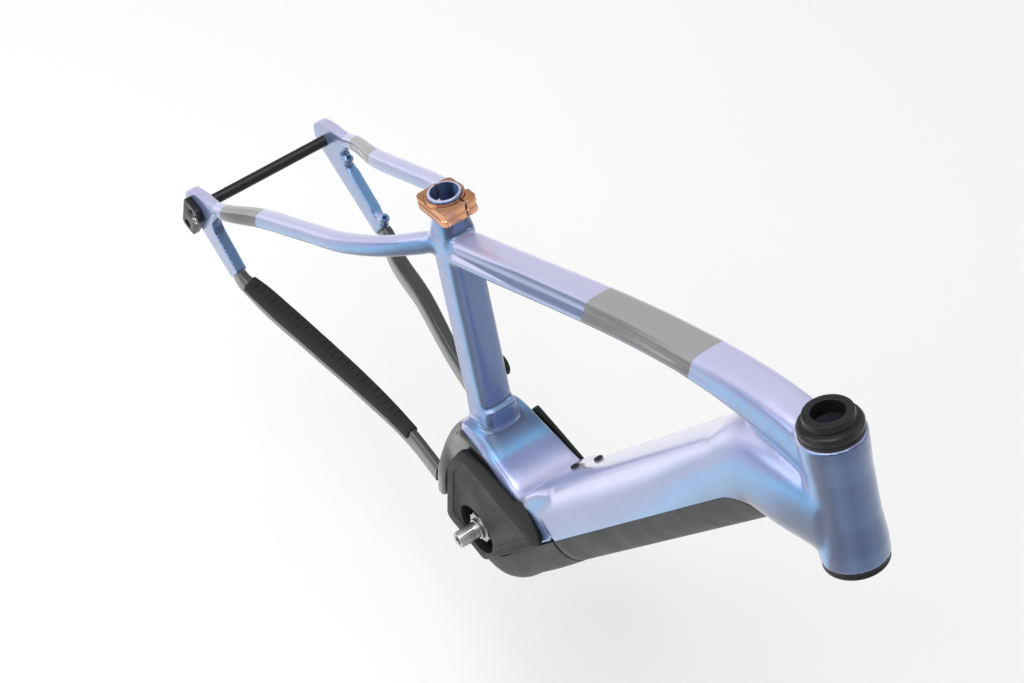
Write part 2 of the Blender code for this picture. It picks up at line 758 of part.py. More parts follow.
def top_tube_rows():
    start = seat_at(TOP_TUBE_SEAT_LENGTH)
    end = head_at(TOP_TUBE_HEAD_DROP)
    pull = start + arm_direction(TOP_TUBE_SEAT_ANGLE) * TOP_TUBE_SEAT_PULL
    push = end - arm_direction(TOP_TUBE_HEAD_ANGLE) * TOP_TUBE_HEAD_PULL
    rows = []
    for share in (0.0, 0.10, 0.22, 0.36, 0.50, 0.62, 0.72, 0.81, 0.90, 1.0):
        rest = 1 - share
        place = rest**3 * start + 3 * share * rest**2 * pull + 3 * share**2 * rest * push + share**3 * end
        flare = max(0.0, (share - TOP_TUBE_FLARE) / (1 - TOP_TUBE_FLARE))
        half_width = TOP_TUBE_SEAT_HALF_WIDTH
        half_width += (TOP_TUBE_HEAD_HALF_WIDTH - TOP_TUBE_SEAT_HALF_WIDTH) * share**2
        half_height = TOP_TUBE_SEAT_HALF_HEIGHT
        half_height += (TOP_TUBE_HEAD_HALF_HEIGHT - TOP_TUBE_SEAT_HALF_HEIGHT) * flare
        shelf = TOP_TUBE_SHELF * max(0.0, 1 - share**2 / TOP_TUBE_FLARE)
        rows.append(row_at(place, half_width, half_height, 3.2, shelf))
    return rows


def down_row(along, inset=0.0):
    return row_at(down_at(along), DOWN_HALF_WIDTH - inset, DOWN_HALF_DEPTH - inset, DOWN_POWER)


def down_tube_rows():
    straight = [down_row(DOWN_START), down_row(0.5 * (DOWN_START + COVER_END)), down_row(COVER_END)]
    nose = COVER_END + COVER_NOSE
    end = head_at(DOWN_HEAD_DROP)
    bend = down_at(nose).lerp(end, 0.45) + DOWN_AXIS * 0.14 * COVER_NOSE
    return [
        *straight,
        down_row(nose),
        row_at(bend, 0.94 * DOWN_HALF_WIDTH, DOWN_HALF_DEPTH, DOWN_POWER),
        row_at(end, DOWN_HEAD_HALF_WIDTH, DOWN_HEAD_HALF_DEPTH, DOWN_POWER),
    ]


def down_tube(head):
    rows = dense(down_tube_rows(), 2)
    tube = loft("down_tube", rows, "frame_paint", wall=DOWN_WALL)
    below = 2 * DOWN_HALF_DEPTH
    bay = [
        flat(down_at(DOWN_START - COVER_NOSE, COVER_SPLIT)),
        flat(down_at(COVER_END + GAP, COVER_SPLIT)),
        flat(down_at(COVER_END + COVER_NOSE + GAP, COVER_NOSE_LIP)),
        flat(down_at(COVER_END + COVER_NOSE + GAP, below)),
        flat(down_at(DOWN_START - COVER_NOSE, below)),
    ]
    opening = side_plate("bay_cutter", bay, -2 * DOWN_HALF_WIDTH, 2 * DOWN_HALF_WIDTH, None)
    keyhole = drill(
        "keyhole_cutter",
        down_at(lock_middle(), 0, DOWN_HALF_WIDTH),
        SIDE,
        LOCK_CYLINDER_RADIUS + RUNNING_GAP,
        DOWN_HALF_WIDTH,
    )
    cut(tube, head, opening, keyhole)
    for i, along in enumerate(bottle_places()):
        hole = drill(
            f"bottle_hole_{i}_cutter",
            down_at(along, -DOWN_HALF_DEPTH),
            DOWN_NORMAL,
            BOTTLE_BOLT_RADIUS + GAP,
            4 * DOWN_WALL,
        )
        cut(tube, hole)


def bottle_places():
    return (BOTTLE_BOLT_START, BOTTLE_BOLT_START + BOTTLE_BOLT_SPACING)


def bottle_bolts():
    for name, along in zip(("lower", "upper"), bottle_places()):
        seat = down_at(along, -DOWN_HALF_DEPTH - GAP)
        profile = [
            (0.0, BOTTLE_BOLT_HEAD_HEIGHT),
            (0.7 * BOTTLE_BOLT_HEAD, BOTTLE_BOLT_HEAD_HEIGHT),
            (BOTTLE_BOLT_HEAD, 0.4 * BOTTLE_BOLT_HEAD_HEIGHT),
            (BOTTLE_BOLT_HEAD, 0.0),
            (BOTTLE_BOLT_RADIUS, 0.0),
            (BOTTLE_BOLT_RADIUS, -DOWN_WALL),
            (0.0, -DOWN_WALL),
        ]
        turned(f"bottle_bolt_{name}", profile, "black_alloy", on_axis(seat, -DOWN_NORMAL), 20, ring=False)


def top_tube(head, seat):
    tube = loft("top_tube", top_tube_rows(), "frame_paint", wall=TUBE_WALL)
    down = loft("down_cutter", dense(down_tube_rows(), 2), None, grow=GAP)
    cut(tube, head, seat, down)


def bracket_rows():
    end = down_at(DOWN_START - GAP, BRACKET_HALF_THICKNESS - DOWN_HALF_DEPTH)
    stub = seat_at(SEAT_TUBE_BASE)
    thick = BRACKET_HALF_THICKNESS
    ledge = stub.z - 2.4 * thick
    return [
        row_at(Vector((-YOKE_BACK, 0, YOKE_BOTTOM)), YOKE_HALF_WIDTH, thick, 5.0),
        row_at(Vector((-YOKE_BACK, 0, YOKE_TOP)), YOKE_HALF_WIDTH, thick, 5.0),
        row_at(Vector((-YOKE_BACK, 0, 0.5 * (YOKE_TOP + ledge))), 1.2 * BRACKET_WAIST, thick, 5.0),
        row_at(Vector((stub.x, 0, ledge)), BRACKET_WAIST, thick, 5.0),
        row_at(Vector((0.2 * end.x, 0, ledge + 0.06 * end.x)), 1.12 * BRACKET_WAIST, thick, 5.0),
        row_at(end - DOWN_AXIS * 0.20 * DOWN_START, 0.95 * DOWN_HALF_WIDTH, thick, 5.0),
        row_at(end - DOWN_AXIS * 0.05 * DOWN_START, 0.98 * DOWN_HALF_WIDTH, thick, 4.5),
        row_at(end, DOWN_HALF_WIDTH, thick, 4.0),
    ]


def cheek_outline():
    ledge = seat_at(SEAT_TUBE_BASE).z - 2.4 * BRACKET_HALF_THICKNESS
    front = DOWN_START - 3 * GAP
    foot = 0.9 * YOKE_BOTTOM
    rear = -0.97 * YOKE_BACK
    return rounded(
        [
            (rear, foot),
            (rear, 0.5 * (YOKE_TOP + ledge)),
            (-0.5 * YOKE_BACK, ledge - BRACKET_HALF_THICKNESS),
            (0.0, ledge),
            flat(down_at(0.85 * DOWN_START, 1.5 * BRACKET_HALF_THICKNESS - DOWN_HALF_DEPTH)),
            flat(down_at(front, 1.5 * BRACKET_HALF_THICKNESS - DOWN_HALF_DEPTH)),
            flat(down_at(front, COVER_SPLIT)),
            flat(down_at(0.60 * DOWN_START, COVER_SPLIT)),
            (0.0, 2.3 * SPINDLE_BEARING_RADIUS),
            (-0.55 * YOKE_BACK, SPINDLE_BEARING_RADIUS),
            (-0.72 * YOKE_BACK, foot),
        ],
        CHEEK_CORNER,
    )


def motor_bolt_places():
    ledge = seat_at(SEAT_TUBE_BASE).z - 2.4 * BRACKET_HALF_THICKNESS
    front = down_at(0.66 * DOWN_START, -0.30 * DOWN_HALF_DEPTH)
    return {"front": flat(front), "rear": (-0.62 * YOKE_BACK, 0.5 * (YOKE_TOP + ledge) - MOTOR_BOLT_DROP)}


def motor_bracket():
    bracket = loft("motor_bracket", dense(bracket_rows(), 2), "frame_paint", count=20)
    stub_top = SEAT_TUBE_BASE
    stub_low = SEAT_TUBE_BASE - 3.2 * BRACKET_HALF_THICKNESS
    half = SEAT_TUBE_HALF + STUB_EXTRA
    stub_rows = [row_at(seat_at(level), half, half, 4.0) for level in (stub_low, stub_top)]
    stub = loft("bracket_stub_addition", stub_rows, None)
    join(bracket, stub)
    for side, name in ((1, "left"), (-1, "right")):
        low, high = sorted((side * CHEEK_INNER, side * CHEEK_OUTER))
        cheek = side_plate(f"bracket_cheek_{name}_addition", cheek_outline(), low, high, None)
        join(bracket, cheek)
    for place, (x, z) in motor_bolt_places().items():
        hole = drill(
            f"motor_hole_{place}_cutter",
            Vector((x, 0, z)),
            SIDE,
            MOTOR_BOLT_RADIUS + GAP,
            3 * CHEEK_OUTER,
        )
        cut(bracket, hole)


def drive_front():
    """The drive unit's flat front end, along the down tube."""
    return 0.76 * DOWN_START


def drive_outline():
    ledge = seat_at(SEAT_TUBE_BASE).z - 3.9 * BRACKET_HALF_THICKNESS
    rear = YOKE_BACK - BRACKET_HALF_THICKNESS - 2 * COVER_REVEAL
    front = 0.65 * DOWN_HALF_DEPTH
    return rounded(
        [
            (-rear, -0.25 * rear),
            (-rear, 0.80 * rear),
            (-0.45 * rear, ledge - COVER_REVEAL),
            (0.30 * rear, ledge - COVER_REVEAL),
            flat(down_at(drive_front(), -0.40 * DOWN_HALF_DEPTH)),
            flat(down_at(drive_front(), 0.30 * DOWN_HALF_DEPTH)),
            flat(down_at(0.64 * DOWN_START, front)),
            flat(down_at(0.18 * DOWN_START, front)),
            flat(down_at(-0.18 * DOWN_START, 0.5 * front)),
            (-0.60 * rear, -DRIVE_HALF_WIDTH - 0.35 * rear),
        ],
        DRIVE_CORNER,
    )


def drive_unit():
    unit = side_plate(
        "drive_unit", drive_outline(), -DRIVE_HALF_WIDTH, DRIVE_HALF_WIDTH, "motor_casting", DRIVE_EDGE
    )
    spindle_room = SPINDLE_RADIUS + 2 * RUNNING_GAP
    bore = drill("spindle_bore_cutter", Vector(), SIDE, spindle_room, 4 * DRIVE_HALF_WIDTH)
    cut(unit, bore)
    for side, name in ((1, "left"), (-1, "right")):
        pocket = drill(
            f"bearing_pocket_{name}_cutter",
            SIDE * side * DRIVE_HALF_WIDTH,
            SIDE,
            SPINDLE_BEARING_RADIUS + GAP,
            2 * SPINDLE_BEARING_WIDTH,
            None,
            36,
        )
        cut(unit, pocket)
        bearing = [
            (SPINDLE_BEARING_RADIUS, 0.5 * SPINDLE_BEARING_WIDTH - GAP),
            (SPINDLE_BEARING_RADIUS, GAP - 0.5 * SPINDLE_BEARING_WIDTH),
            (SPINDLE_RADIUS + RUNNING_GAP, GAP - 0.5 * SPINDLE_BEARING_WIDTH),
            (SPINDLE_RADIUS + RUNNING_GAP, 0.5 * SPINDLE_BEARING_WIDTH - GAP),
        ]
        place = SIDE * side * (DRIVE_HALF_WIDTH - 0.5 * SPINDLE_BEARING_WIDTH)
        turned(f"spindle_bearing_{name}", bearing, "steel", on_axis(place, SIDE))
        for spot, (x, z) in motor_bolt_places().items():
            thread = drill(
                f"motor_thread_{spot}_{name}_cutter",
                Vector((x, side * DRIVE_HALF_WIDTH, z)),
                SIDE,
                MOTOR_BOLT_RADIUS + GAP,
                2 * MOTOR_BOLT_GRIP + 2 * GAP,
            )
            cut(unit, thread)
            head = CHEEK_OUTER + GAP
            profile = [
                (0.0, head + MOTOR_BOLT_HEAD_HEIGHT),
                (MOTOR_BOLT_HEAD, head + MOTOR_BOLT_HEAD_HEIGHT),
                (MOTOR_BOLT_HEAD, head),
                (MOTOR_BOLT_RADIUS, head),
                (MOTOR_BOLT_RADIUS, DRIVE_HALF_WIDTH - MOTOR_BOLT_GRIP + GAP),
                (0.0, DRIVE_HALF_WIDTH - MOTOR_BOLT_GRIP + GAP),
            ]
            matrix = on_axis(Vector((x, 0, z)), SIDE * side)
            turned(f"motor_bolt_{spot}_{name}", profile, "steel", matrix, 20, ring=False)


def crank_spindle():
    spindle = [
        (0.0, SPINDLE_HALF_LENGTH),
        (0.72 * SPINDLE_RADIUS, SPINDLE_HALF_LENGTH),
        (0.80 * SPINDLE_RADIUS, CHEEK_OUTER + SIDE_COVER_DEPTH + GAP),
        (SPINDLE_RADIUS, CHEEK_OUTER + SIDE_COVER_DEPTH),
        (SPINDLE_RADIUS, -CHEEK_OUTER - SIDE_COVER_DEPTH),
        (0.80 * SPINDLE_RADIUS, -CHEEK_OUTER - SIDE_COVER_DEPTH - GAP),
        (0.72 * SPINDLE_RADIUS, -SPINDLE_HALF_LENGTH),
        (0.0, -SPINDLE_HALF_LENGTH),
    ]
    turned("crank_spindle", spindle, "steel", on_axis(Vector(), SIDE), ring=False)
    start = DRIVE_HALF_WIDTH + RUNNING_GAP
    hub = [
        (0.82 * OUTPUT_HUB_RADIUS, start + OUTPUT_HUB_WIDTH),
        (0.82 * OUTPUT_HUB_RADIUS, start + 0.5 * OUTPUT_HUB_WIDTH),
        (OUTPUT_HUB_RADIUS, start + 0.5 * OUTPUT_HUB_WIDTH),
        (OUTPUT_HUB_RADIUS, start),
        (SPINDLE_RADIUS + GAP, start),
        (SPINDLE_RADIUS + GAP, start + OUTPUT_HUB_WIDTH),
    ]
    turned("output_hub", hub, "steel", on_axis(Vector(), -SIDE))


def side_cover_outline():
    ledge = seat_at(SEAT_TUBE_BASE).z - 1.9 * BRACKET_HALF_THICKNESS
    front = 0.88 * DOWN_START
    edge = COVER_SPLIT - COVER_REVEAL
    low = skid_turn().z - COVER_SPLIT + COVER_REVEAL
    return rounded(
        [
            (-0.80 * YOKE_BACK, low),
            (-0.80 * YOKE_BACK, 0.5 * ledge),
            (-0.52 * YOKE_BACK, 0.92 * ledge),
            (0.0, ledge),
            flat(down_at(0.78 * DOWN_START, 0.6 * BRACKET_HALF_THICKNESS - DOWN_HALF_DEPTH)),
            flat(down_at(front, 0.6 * BRACKET_HALF_THICKNESS - DOWN_HALF_DEPTH)),
            flat(down_at(front, edge)),
            flat(down_at(0.15 * DOWN_START, edge)),
            (0.0, low),
        ],
        SIDE_COVER_CORNER,
    )


def side_covers():
    outline = side_cover_outline()
    middle = sum((Vector(point) for point in outline), Vector((0, 0))) / len(outline)
    reach = min((Vector(point) - middle).length for point in outline)
    shrink = 1 - 1.5 * SIDE_COVER_WALL / reach
    for side, name, opening in ((1, "left", 1.20), (-1, "right", 1.45)):
        low, high = sorted((side * COVER_SIDE, side * (COVER_SIDE + SIDE_COVER_DEPTH)))
        cover = side_plate(f"motor_cover_{name}", outline, low, high, "motor_plastic", SIDE_COVER_EDGE)
        inner = [middle + (Vector(point) - middle) * shrink for point in outline]
        inside = side * (COVER_SIDE + SIDE_COVER_DEPTH - SIDE_COVER_WALL)
        low, high = sorted((inside, side * (COVER_SIDE - SIDE_COVER_DEPTH)))
        hollow = side_plate(f"cover_hollow_{name}_cutter", inner, low, high, None)
        hole = drill(
            f"cover_hole_{name}_cutter",
            SIDE * side * COVER_SIDE,
            SIDE,
            opening * OUTPUT_HUB_RADIUS,
            4 * SIDE_COVER_DEPTH,
            None,
            36,
        )
        cut(cover, hollow, hole)


def skid_turn():
    """Where the skid plate's axis turns from the down tube's line to level."""
    return down_at(-SKID_TURN)


def skid_plate():
    turn = skid_turn()
    width, depth = DOWN_HALF_WIDTH, DOWN_HALF_DEPTH
    back = Vector((-1, 0, 0))
    guide = [
        row_at(down_at(COVER_START - SKID_GAP), width, depth, DOWN_POWER),
        row_at(down_at(0.62 * DOWN_START), width, depth, 4.2),
        row_at(down_at(0.4 * SKID_TURN), width, depth, 4.2),
        row_at(turn + (back - DOWN_AXIS) * SKID_BEND, width, depth, 4.2),
        row_at(turn + back * (SKID_LENGTH - SKID_TURN), width, depth, 4.2),
        row_at(turn + back * SKID_LENGTH, width, depth, 4.2),
    ]
    rows = guide[::-1]
    edges = [LEG_EDGE] * len(rows)
    edges[0] = 0.6 * DOWN_HALF_DEPTH
    channel("skid_plate", rows, edges, COVER_WALL, "cover_plastic")


def battery_cover():
    places = [(COVER_START, LEG_EDGE), (0.5 * (COVER_START + COVER_END), LEG_EDGE), (COVER_END, LEG_EDGE)]
    for share in (0.33, 0.66, 1.0):
        lip = LEG_EDGE + (COVER_NOSE_LIP - LEG_EDGE) * share + GAP
        places.append((COVER_END + (COVER_NOSE - GAP) * share, lip))
    rows = [down_row(along) for along, _ in places]
    channel("battery_cover", rows, [edge for _, edge in places], COVER_WALL, "cover_plastic")


def battery_pack():
    inset = DOWN_WALL + BATTERY_CLEARANCE
    rows = [down_row(BATTERY_START, inset), down_row(BATTERY_END, inset)]
    pack = loft("battery_pack", rows, "motor_plastic")
    lug = drill(
        "pivot_lug_addition",
        down_at(PIVOT_START, PIVOT_DROP),
        SIDE,
        PIVOT_LUG_RADIUS,
        2 * PIVOT_LUG_HALF,
    )
    arm_length = 2 * (BATTERY_START - PIVOT_START)
    arm = block(
        "pivot_arm_addition",
        (arm_length, 2 * PIVOT_LUG_HALF - 2 * GAP, 1.6 * PIVOT_LUG_RADIUS),
        None,
        down_frame(PIVOT_START + 0.5 * arm_length, PIVOT_DROP - 0.2 * PIVOT_LUG_RADIUS),
    )
    join(pack, lug, arm)
    pin = drill(
        "pivot_hole_cutter",
        down_at(PIVOT_START, PIVOT_DROP),
        SIDE,
        PIVOT_RADIUS + RUNNING_GAP,
        4 * PIVOT_LUG_HALF,
    )
    room = LOCK_CAM_HALF + 2 * RUNNING_GAP
    depth = LOCK_CAM_HOLD + 2 * RUNNING_GAP
    sweep = math.sqrt(cam_length() ** 2 - (cam_length() - LOCK_CAM_HOLD) ** 2)
    catch = block(
        "battery_catch_cutter",
        (2 * depth, 2 * room, sweep + 3 * room),
        None,
        down_frame(BATTERY_END, 0.5 * (room - sweep - 2 * room), -LOCK_CAM_HALF),
    )
    cut(pack, pin, catch)


def battery_socket():
    top = -0.30 * DOWN_HALF_DEPTH
    low = PIVOT_DROP + PIVOT_LUG_RADIUS
    ear_inner = PIVOT_LUG_HALF + RUNNING_GAP
    ear_outer = ear_inner + PIVOT_EAR
    back = drive_front() + GAP
    length = SOCKET_LENGTH
    socket = block(
        "battery_socket",
        (length, 2 * SOCKET_HALF_WIDTH, 0.42 * (low - top)),
        "motor_plastic",
        down_frame(back + 0.5 * length, top + 0.21 * (low - top)),
    )
    for side, name in ((1, "left"), (-1, "right")):
        middle = side * 0.5 * (ear_inner + ear_outer)
        post = block(
            f"socket_post_{name}_addition",
            (length, PIVOT_EAR, low - top - GAP),
            None,
            down_frame(back + 0.5 * length, 0.5 * (low + top), middle),
        )
        ear_length = PIVOT_START + PIVOT_LUG_RADIUS - back
        ear = block(
            f"socket_ear_{name}_addition",
            (ear_length, PIVOT_EAR, 2 * PIVOT_LUG_RADIUS),
            None,
            down_frame(back + 0.5 * ear_length, PIVOT_DROP, middle),
        )
        join(socket, post, ear)
    hole = drill(
        "socket_pivot_cutter",
        down_at(PIVOT_START, PIVOT_DROP),
        SIDE,
        PIVOT_RADIUS + GAP,
        4 * ear_outer,
    )
    cut(socket, hole)
    drill(
        "battery_pivot",
        down_at(PIVOT_START, PIVOT_DROP),
        SIDE,
        PIVOT_RADIUS,
        2 * ear_outer,
        "steel",
        16,
    )


def lock_middle():
    return BATTERY_END + LOCK_GAP + 0.5 * LOCK_LENGTH


def cam_length():
    """From the lock cylinder's axis to the cam's tip."""
    return LOCK_GAP + 0.5 * LOCK_LENGTH + LOCK_CAM_HOLD


def battery_lock():
    wall = DOWN_HALF_WIDTH - DOWN_WALL - 3 * GAP
    body = block(
        "lock_body",
        (LOCK_LENGTH, wall - RUNNING_GAP, 2 * LOCK_HALF_DEPTH),
        "motor_casting",
        down_frame(lock_middle(), 0.0, 0.5 * (wall + RUNNING_GAP)),
    )
    barrel = drill(
        "lock_barrel_cutter",
        down_at(lock_middle(), 0, wall),
        SIDE,
        LOCK_CYLINDER_RADIUS + RUNNING_GAP,
        4 * wall,
    )
    cut(body, barrel)
    profile = [
        (0.0, DOWN_HALF_WIDTH + RUNNING_GAP),
        (LOCK_CYLINDER_RADIUS, DOWN_HALF_WIDTH + RUNNING_GAP),
        (LOCK_CYLINDER_RADIUS, GAP),
        (0.0, GAP),
    ]
    turned("lock_cylinder", profile, "bare_alloy", on_axis(down_at(lock_middle()), SIDE), 28, ring=False)
    hub = LOCK_CYLINDER_RADIUS
    tip = cam_length()
    middle = lock_middle()
    corners = [
        flat(down_at(middle - hub, hub)),
        flat(down_at(middle - hub, -0.4 * tip)),
        flat(down_at(middle - LOCK_CAM_HALF, -tip)),
        flat(down_at(middle + LOCK_CAM_HALF, -tip)),
        flat(down_at(middle + hub, -0.4 * tip)),
        flat(down_at(middle + hub, hub)),
    ]
    side_plate("lock_cam", rounded(corners, LOCK_CAM_HALF), -2 * LOCK_CAM_HALF, 0.0, "steel")


def arm_direction(angle):
    return Vector((math.cos(angle), 0, math.sin(angle)))


def seat_arm_base():
    return AXLE + Vector((0, 0, SEAT_ARM_RISE))


def seat_arm_angle():
    target = seat_at(SEATSTAY_SEAT_LENGTH) - seat_arm_base()
    return math.atan2(target.z, target.x)


def dropout_outline(chain_length, chain_angle):
    axle = Vector(flat(AXLE))
    seat = Vector(flat(arm_direction(seat_arm_angle())))
    chain = Vector(flat(arm_direction(chain_angle)))
    seat_up = Vector((-seat.y, seat.x))
    chain_up = Vector((-chain.y, chain.x))
    rear_start = math.atan2(-chain_up.y, -chain_up.x)
    rear_end = math.atan2(seat_up.y, seat_up.x) - 2 * math.pi
    arc = [rear_start + (rear_end - rear_start) * i / 8 for i in range(9)]
    rear = [axle + DROPOUT_RADIUS * Vector((math.cos(a), math.sin(a))) for a in arc]
    base = Vector(flat(seat_arm_base()))
    corners = [
        base + seat * SEAT_ARM_LENGTH + seat_up * SEAT_ARM_HALF,
        base + seat * SEAT_ARM_LENGTH - seat_up * SEAT_ARM_HALF,
        axle + (seat + chain).normalized() * 1.25 * DROPOUT_RADIUS,
        axle + chain * chain_length + chain_up * CHAIN_ARM_HALF,
        axle + chain * chain_length - chain_up * CHAIN_ARM_HALF,
    ]
    return corners + rear


def dropout(side, name, chain_length, chain_angle):
    low, high = sorted((side * 0.5 * AXLE_SPACING, side * (0.5 * AXLE_SPACING + DROPOUT_THICKNESS)))
    outline = dropout_outline(chain_length, chain_angle)
    plate = side_plate(f"dropout_{name}", outline, low, high, "frame_paint", PLATE_EDGE)
    through = 4 * DROPOUT_THICKNESS
    hole = drill(f"axle_hole_{name}_cutter", AXLE + SIDE * low, SIDE, AXLE_RADIUS + GAP, through)
    if side > 0:
        chain = arm_direction(chain_angle)
        up = Vector((-chain.z, 0, chain.x))
        for i in range(2):
            foot = AXLE + chain * (BRAKE_POST_START + i * BRAKE_POST_SPACING)
            foot += SIDE * 0.5 * (low + high)
            length = CHAIN_ARM_HALF + BRAKE_POST_HEIGHT
            post = drill(
                f"brake_post_{i}_addition", foot + up * 0.5 * length, up, 0.98 * BRAKE_POST_RADIUS, length
            )
            join(plate, post)
    cut(plate, hole)
    return plate


def dropouts():
    dropout(1, "left", LEFT_CHAIN_ARM, LEFT_CHAIN_ARM_ANGLE)
    right = dropout(-1, "right", RIGHT_CHAIN_ARM, RIGHT_CHAIN_ARM_ANGLE)
    face = -(0.5 * AXLE_SPACING + DROPOUT_THICKNESS + GAP)
    foot = Vector(flat(AXLE)) + Vector((-HANGER_BACK, -HANGER_DROP))
    top = Vector(flat(AXLE))
    outline = rounded(
        [
            top + Vector((-HANGER_EYE, HANGER_EYE)),
            foot + Vector((-HANGER_EYE, -0.8 * HANGER_EYE)),
            foot + Vector((0.9 * HANGER_EYE, -0.8 * HANGER_EYE)),
            top + Vector((1.5 * HANGER_EYE, 0.0)),
            top + Vector((HANGER_EYE, HANGER_EYE)),
        ],
        HANGER_CORNER,
    )
    hanger = side_plate(
        "derailleur_hanger", outline, face - HANGER_THICKNESS, face, "black_alloy", HANGER_EDGE
    )
    axle_hole = drill("hanger_axle_cutter", AXLE + SIDE * face, SIDE, AXLE_RADIUS + GAP, 6 * HANGER_THICKNESS)
    thread = drill(
        "hanger_thread_cutter", Vector((foot.x, face, foot.y)), SIDE, 0.42 * HANGER_EYE, 6 * HANGER_THICKNESS
    )
    bolt_place = AXLE + Vector((1.02 * HANGER_EYE, 0, 0.0))
    bolt_hole = drill(
        "hanger_bolt_cutter",
        bolt_place + SIDE * face,
        SIDE,
        HANGER_BOLT_RADIUS + GAP,
        2 * DROPOUT_THICKNESS,
        None,
        16,
    )
    cut(hanger, axle_hole, thread, bolt_hole)
    cut(right, bolt_hole)
    head = HANGER_THICKNESS + GAP
    profile = [
        (0.0, head + HANGER_BOLT_RADIUS),
        (1.7 * HANGER_BOLT_RADIUS, head + HANGER_BOLT_RADIUS),
        (1.7 * HANGER_BOLT_RADIUS, head),
        (HANGER_BOLT_RADIUS, head),
        (HANGER_BOLT_RADIUS, 2 * GAP - 0.9 * DROPOUT_THICKNESS),
        (0.0, 2 * GAP - 0.9 * DROPOUT_THICKNESS),
    ]
    turned("hanger_bolt", profile, "steel", on_axis(bolt_place + SIDE * face, -SIDE), 16, ring=False)


def thru_axle():
    left = 0.5 * AXLE_SPACING + DROPOUT_THICKNESS + GAP
    right = -(0.5 * AXLE_SPACING + DROPOUT_THICKNESS + HANGER_THICKNESS)
    profile = [
        (AXLE_HEAD_RADIUS, left + AXLE_HEAD_HEIGHT),
        (AXLE_HEAD_RADIUS, left),
        (AXLE_RADIUS, left),
        (AXLE_RADIUS, right),
        (AXLE_BORE, right),
        (AXLE_BORE, left + AXLE_HEAD_HEIGHT),
    ]
    turned("thru_axle", profile, "black_alloy", on_axis(AXLE, SIDE), 28)


def seatstays(seat):
    arm = arm_direction(seat_arm_angle())
    outside = 0.5 * (AXLE_SPACING + DROPOUT_THICKNESS)
    start = seat_arm_base() + arm * (SEAT_ARM_LENGTH + GAP)
    end = seat_at(SEATSTAY_SEAT_LENGTH)
    run = end - start
    for side, name in ((1, "left"), (-1, "right")):
        places = [
            (0.0, outside, 0.80),
            (0.04, outside, 0.82),
            (0.22, 0.35 * outside + 0.65 * SEATSTAY_SPREAD, 1.0),
            (0.48, SEATSTAY_SPREAD, 1.0),
            (0.70, 0.90 * SEATSTAY_SPREAD, 1.0),
            (0.84, 0.66 * SEATSTAY_SPREAD, 1.0),
            (0.93, 0.36 * SEATSTAY_SPREAD, 1.05),
            (0.99, 0.12 * SEATSTAY_SPREAD, 1.1),
        ]
        rows = []
        for share, spread, size in places:
            point = start + run * share + SIDE * side * spread
            rows.append(row_at(point, size * SEATSTAY_HALF_WIDTH, size * SEATSTAY_HALF_HEIGHT, 2.8))
        rows[0] = rows[0]._replace(half_width=0.46 * DROPOUT_THICKNESS, half_height=0.95 * SEAT_ARM_HALF)
        stay = loft(f"seatstay_{name}", dense(rows, 2), "frame_paint", wall=STAY_WALL, count=16)
        cut(stay, seat)


def chainstay_rows(side, chain_length, chain_angle):
    arm = arm_direction(chain_angle)
    outside = 0.5 * (AXLE_SPACING + DROPOUT_THICKNESS)
    start = AXLE + arm * (chain_length + GAP)
    end = Vector((-YOKE_BACK - BRACKET_HALF_THICKNESS - GAP, 0, 0.5 * (YOKE_TOP + YOKE_BOTTOM)))
    run = end - start
    turn = start + arm * CHAINSTAY_TURN
    wide, narrow = CHAINSTAY_HALF_WIDTH, CHAINSTAY_FRONT_HALF_WIDTH
    high = CHAINSTAY_HALF_HEIGHT
    places = [
        (start, outside, 0.46 * DROPOUT_THICKNESS, 0.95 * CHAIN_ARM_HALF),
        (start + arm * CHAINSTAY_STRAIGHT, outside, 0.5 * DROPOUT_THICKNESS, 0.97 * CHAIN_ARM_HALF),
        (turn + run * 0.03, 0.7 * outside + 0.3 * CHAINSTAY_SPREAD, 0.9 * wide, high),
        (start + run * 0.35, CHAINSTAY_SPREAD, wide, high),
        (start + run * 0.62, 0.35 * CHAINSTAY_SPREAD + 0.65 * CHAINSTAY_FRONT, 0.85 * wide, high),
        (start + run * 0.84, CHAINSTAY_FRONT, narrow, high),
        (end, CHAINSTAY_FRONT, narrow, high),
    ]
    rows = []
    for point, spread, half_width, half_height in places:
        rows.append(row_at(point + SIDE * side * spread, half_width, half_height, 4.0))
    return dense(rows, 2)


def chainstays():
    left = chainstay_rows(1, LEFT_CHAIN_ARM, LEFT_CHAIN_ARM_ANGLE)
    right = chainstay_rows(-1, RIGHT_CHAIN_ARM, RIGHT_CHAIN_ARM_ANGLE)
    loft("chainstay_left", left, "stay_paint", wall=STAY_WALL, count=16)
    loft("chainstay_right", right, "stay_paint", wall=STAY_WALL, count=16)
    guard = right[3:11]
    edges = [0.25 * CHAINSTAY_HALF_HEIGHT] * len(guard)
    channel("chainstay_guard", guard, edges, GUARD_WALL, "rubber", grow=GAP, upper=True, count=10)


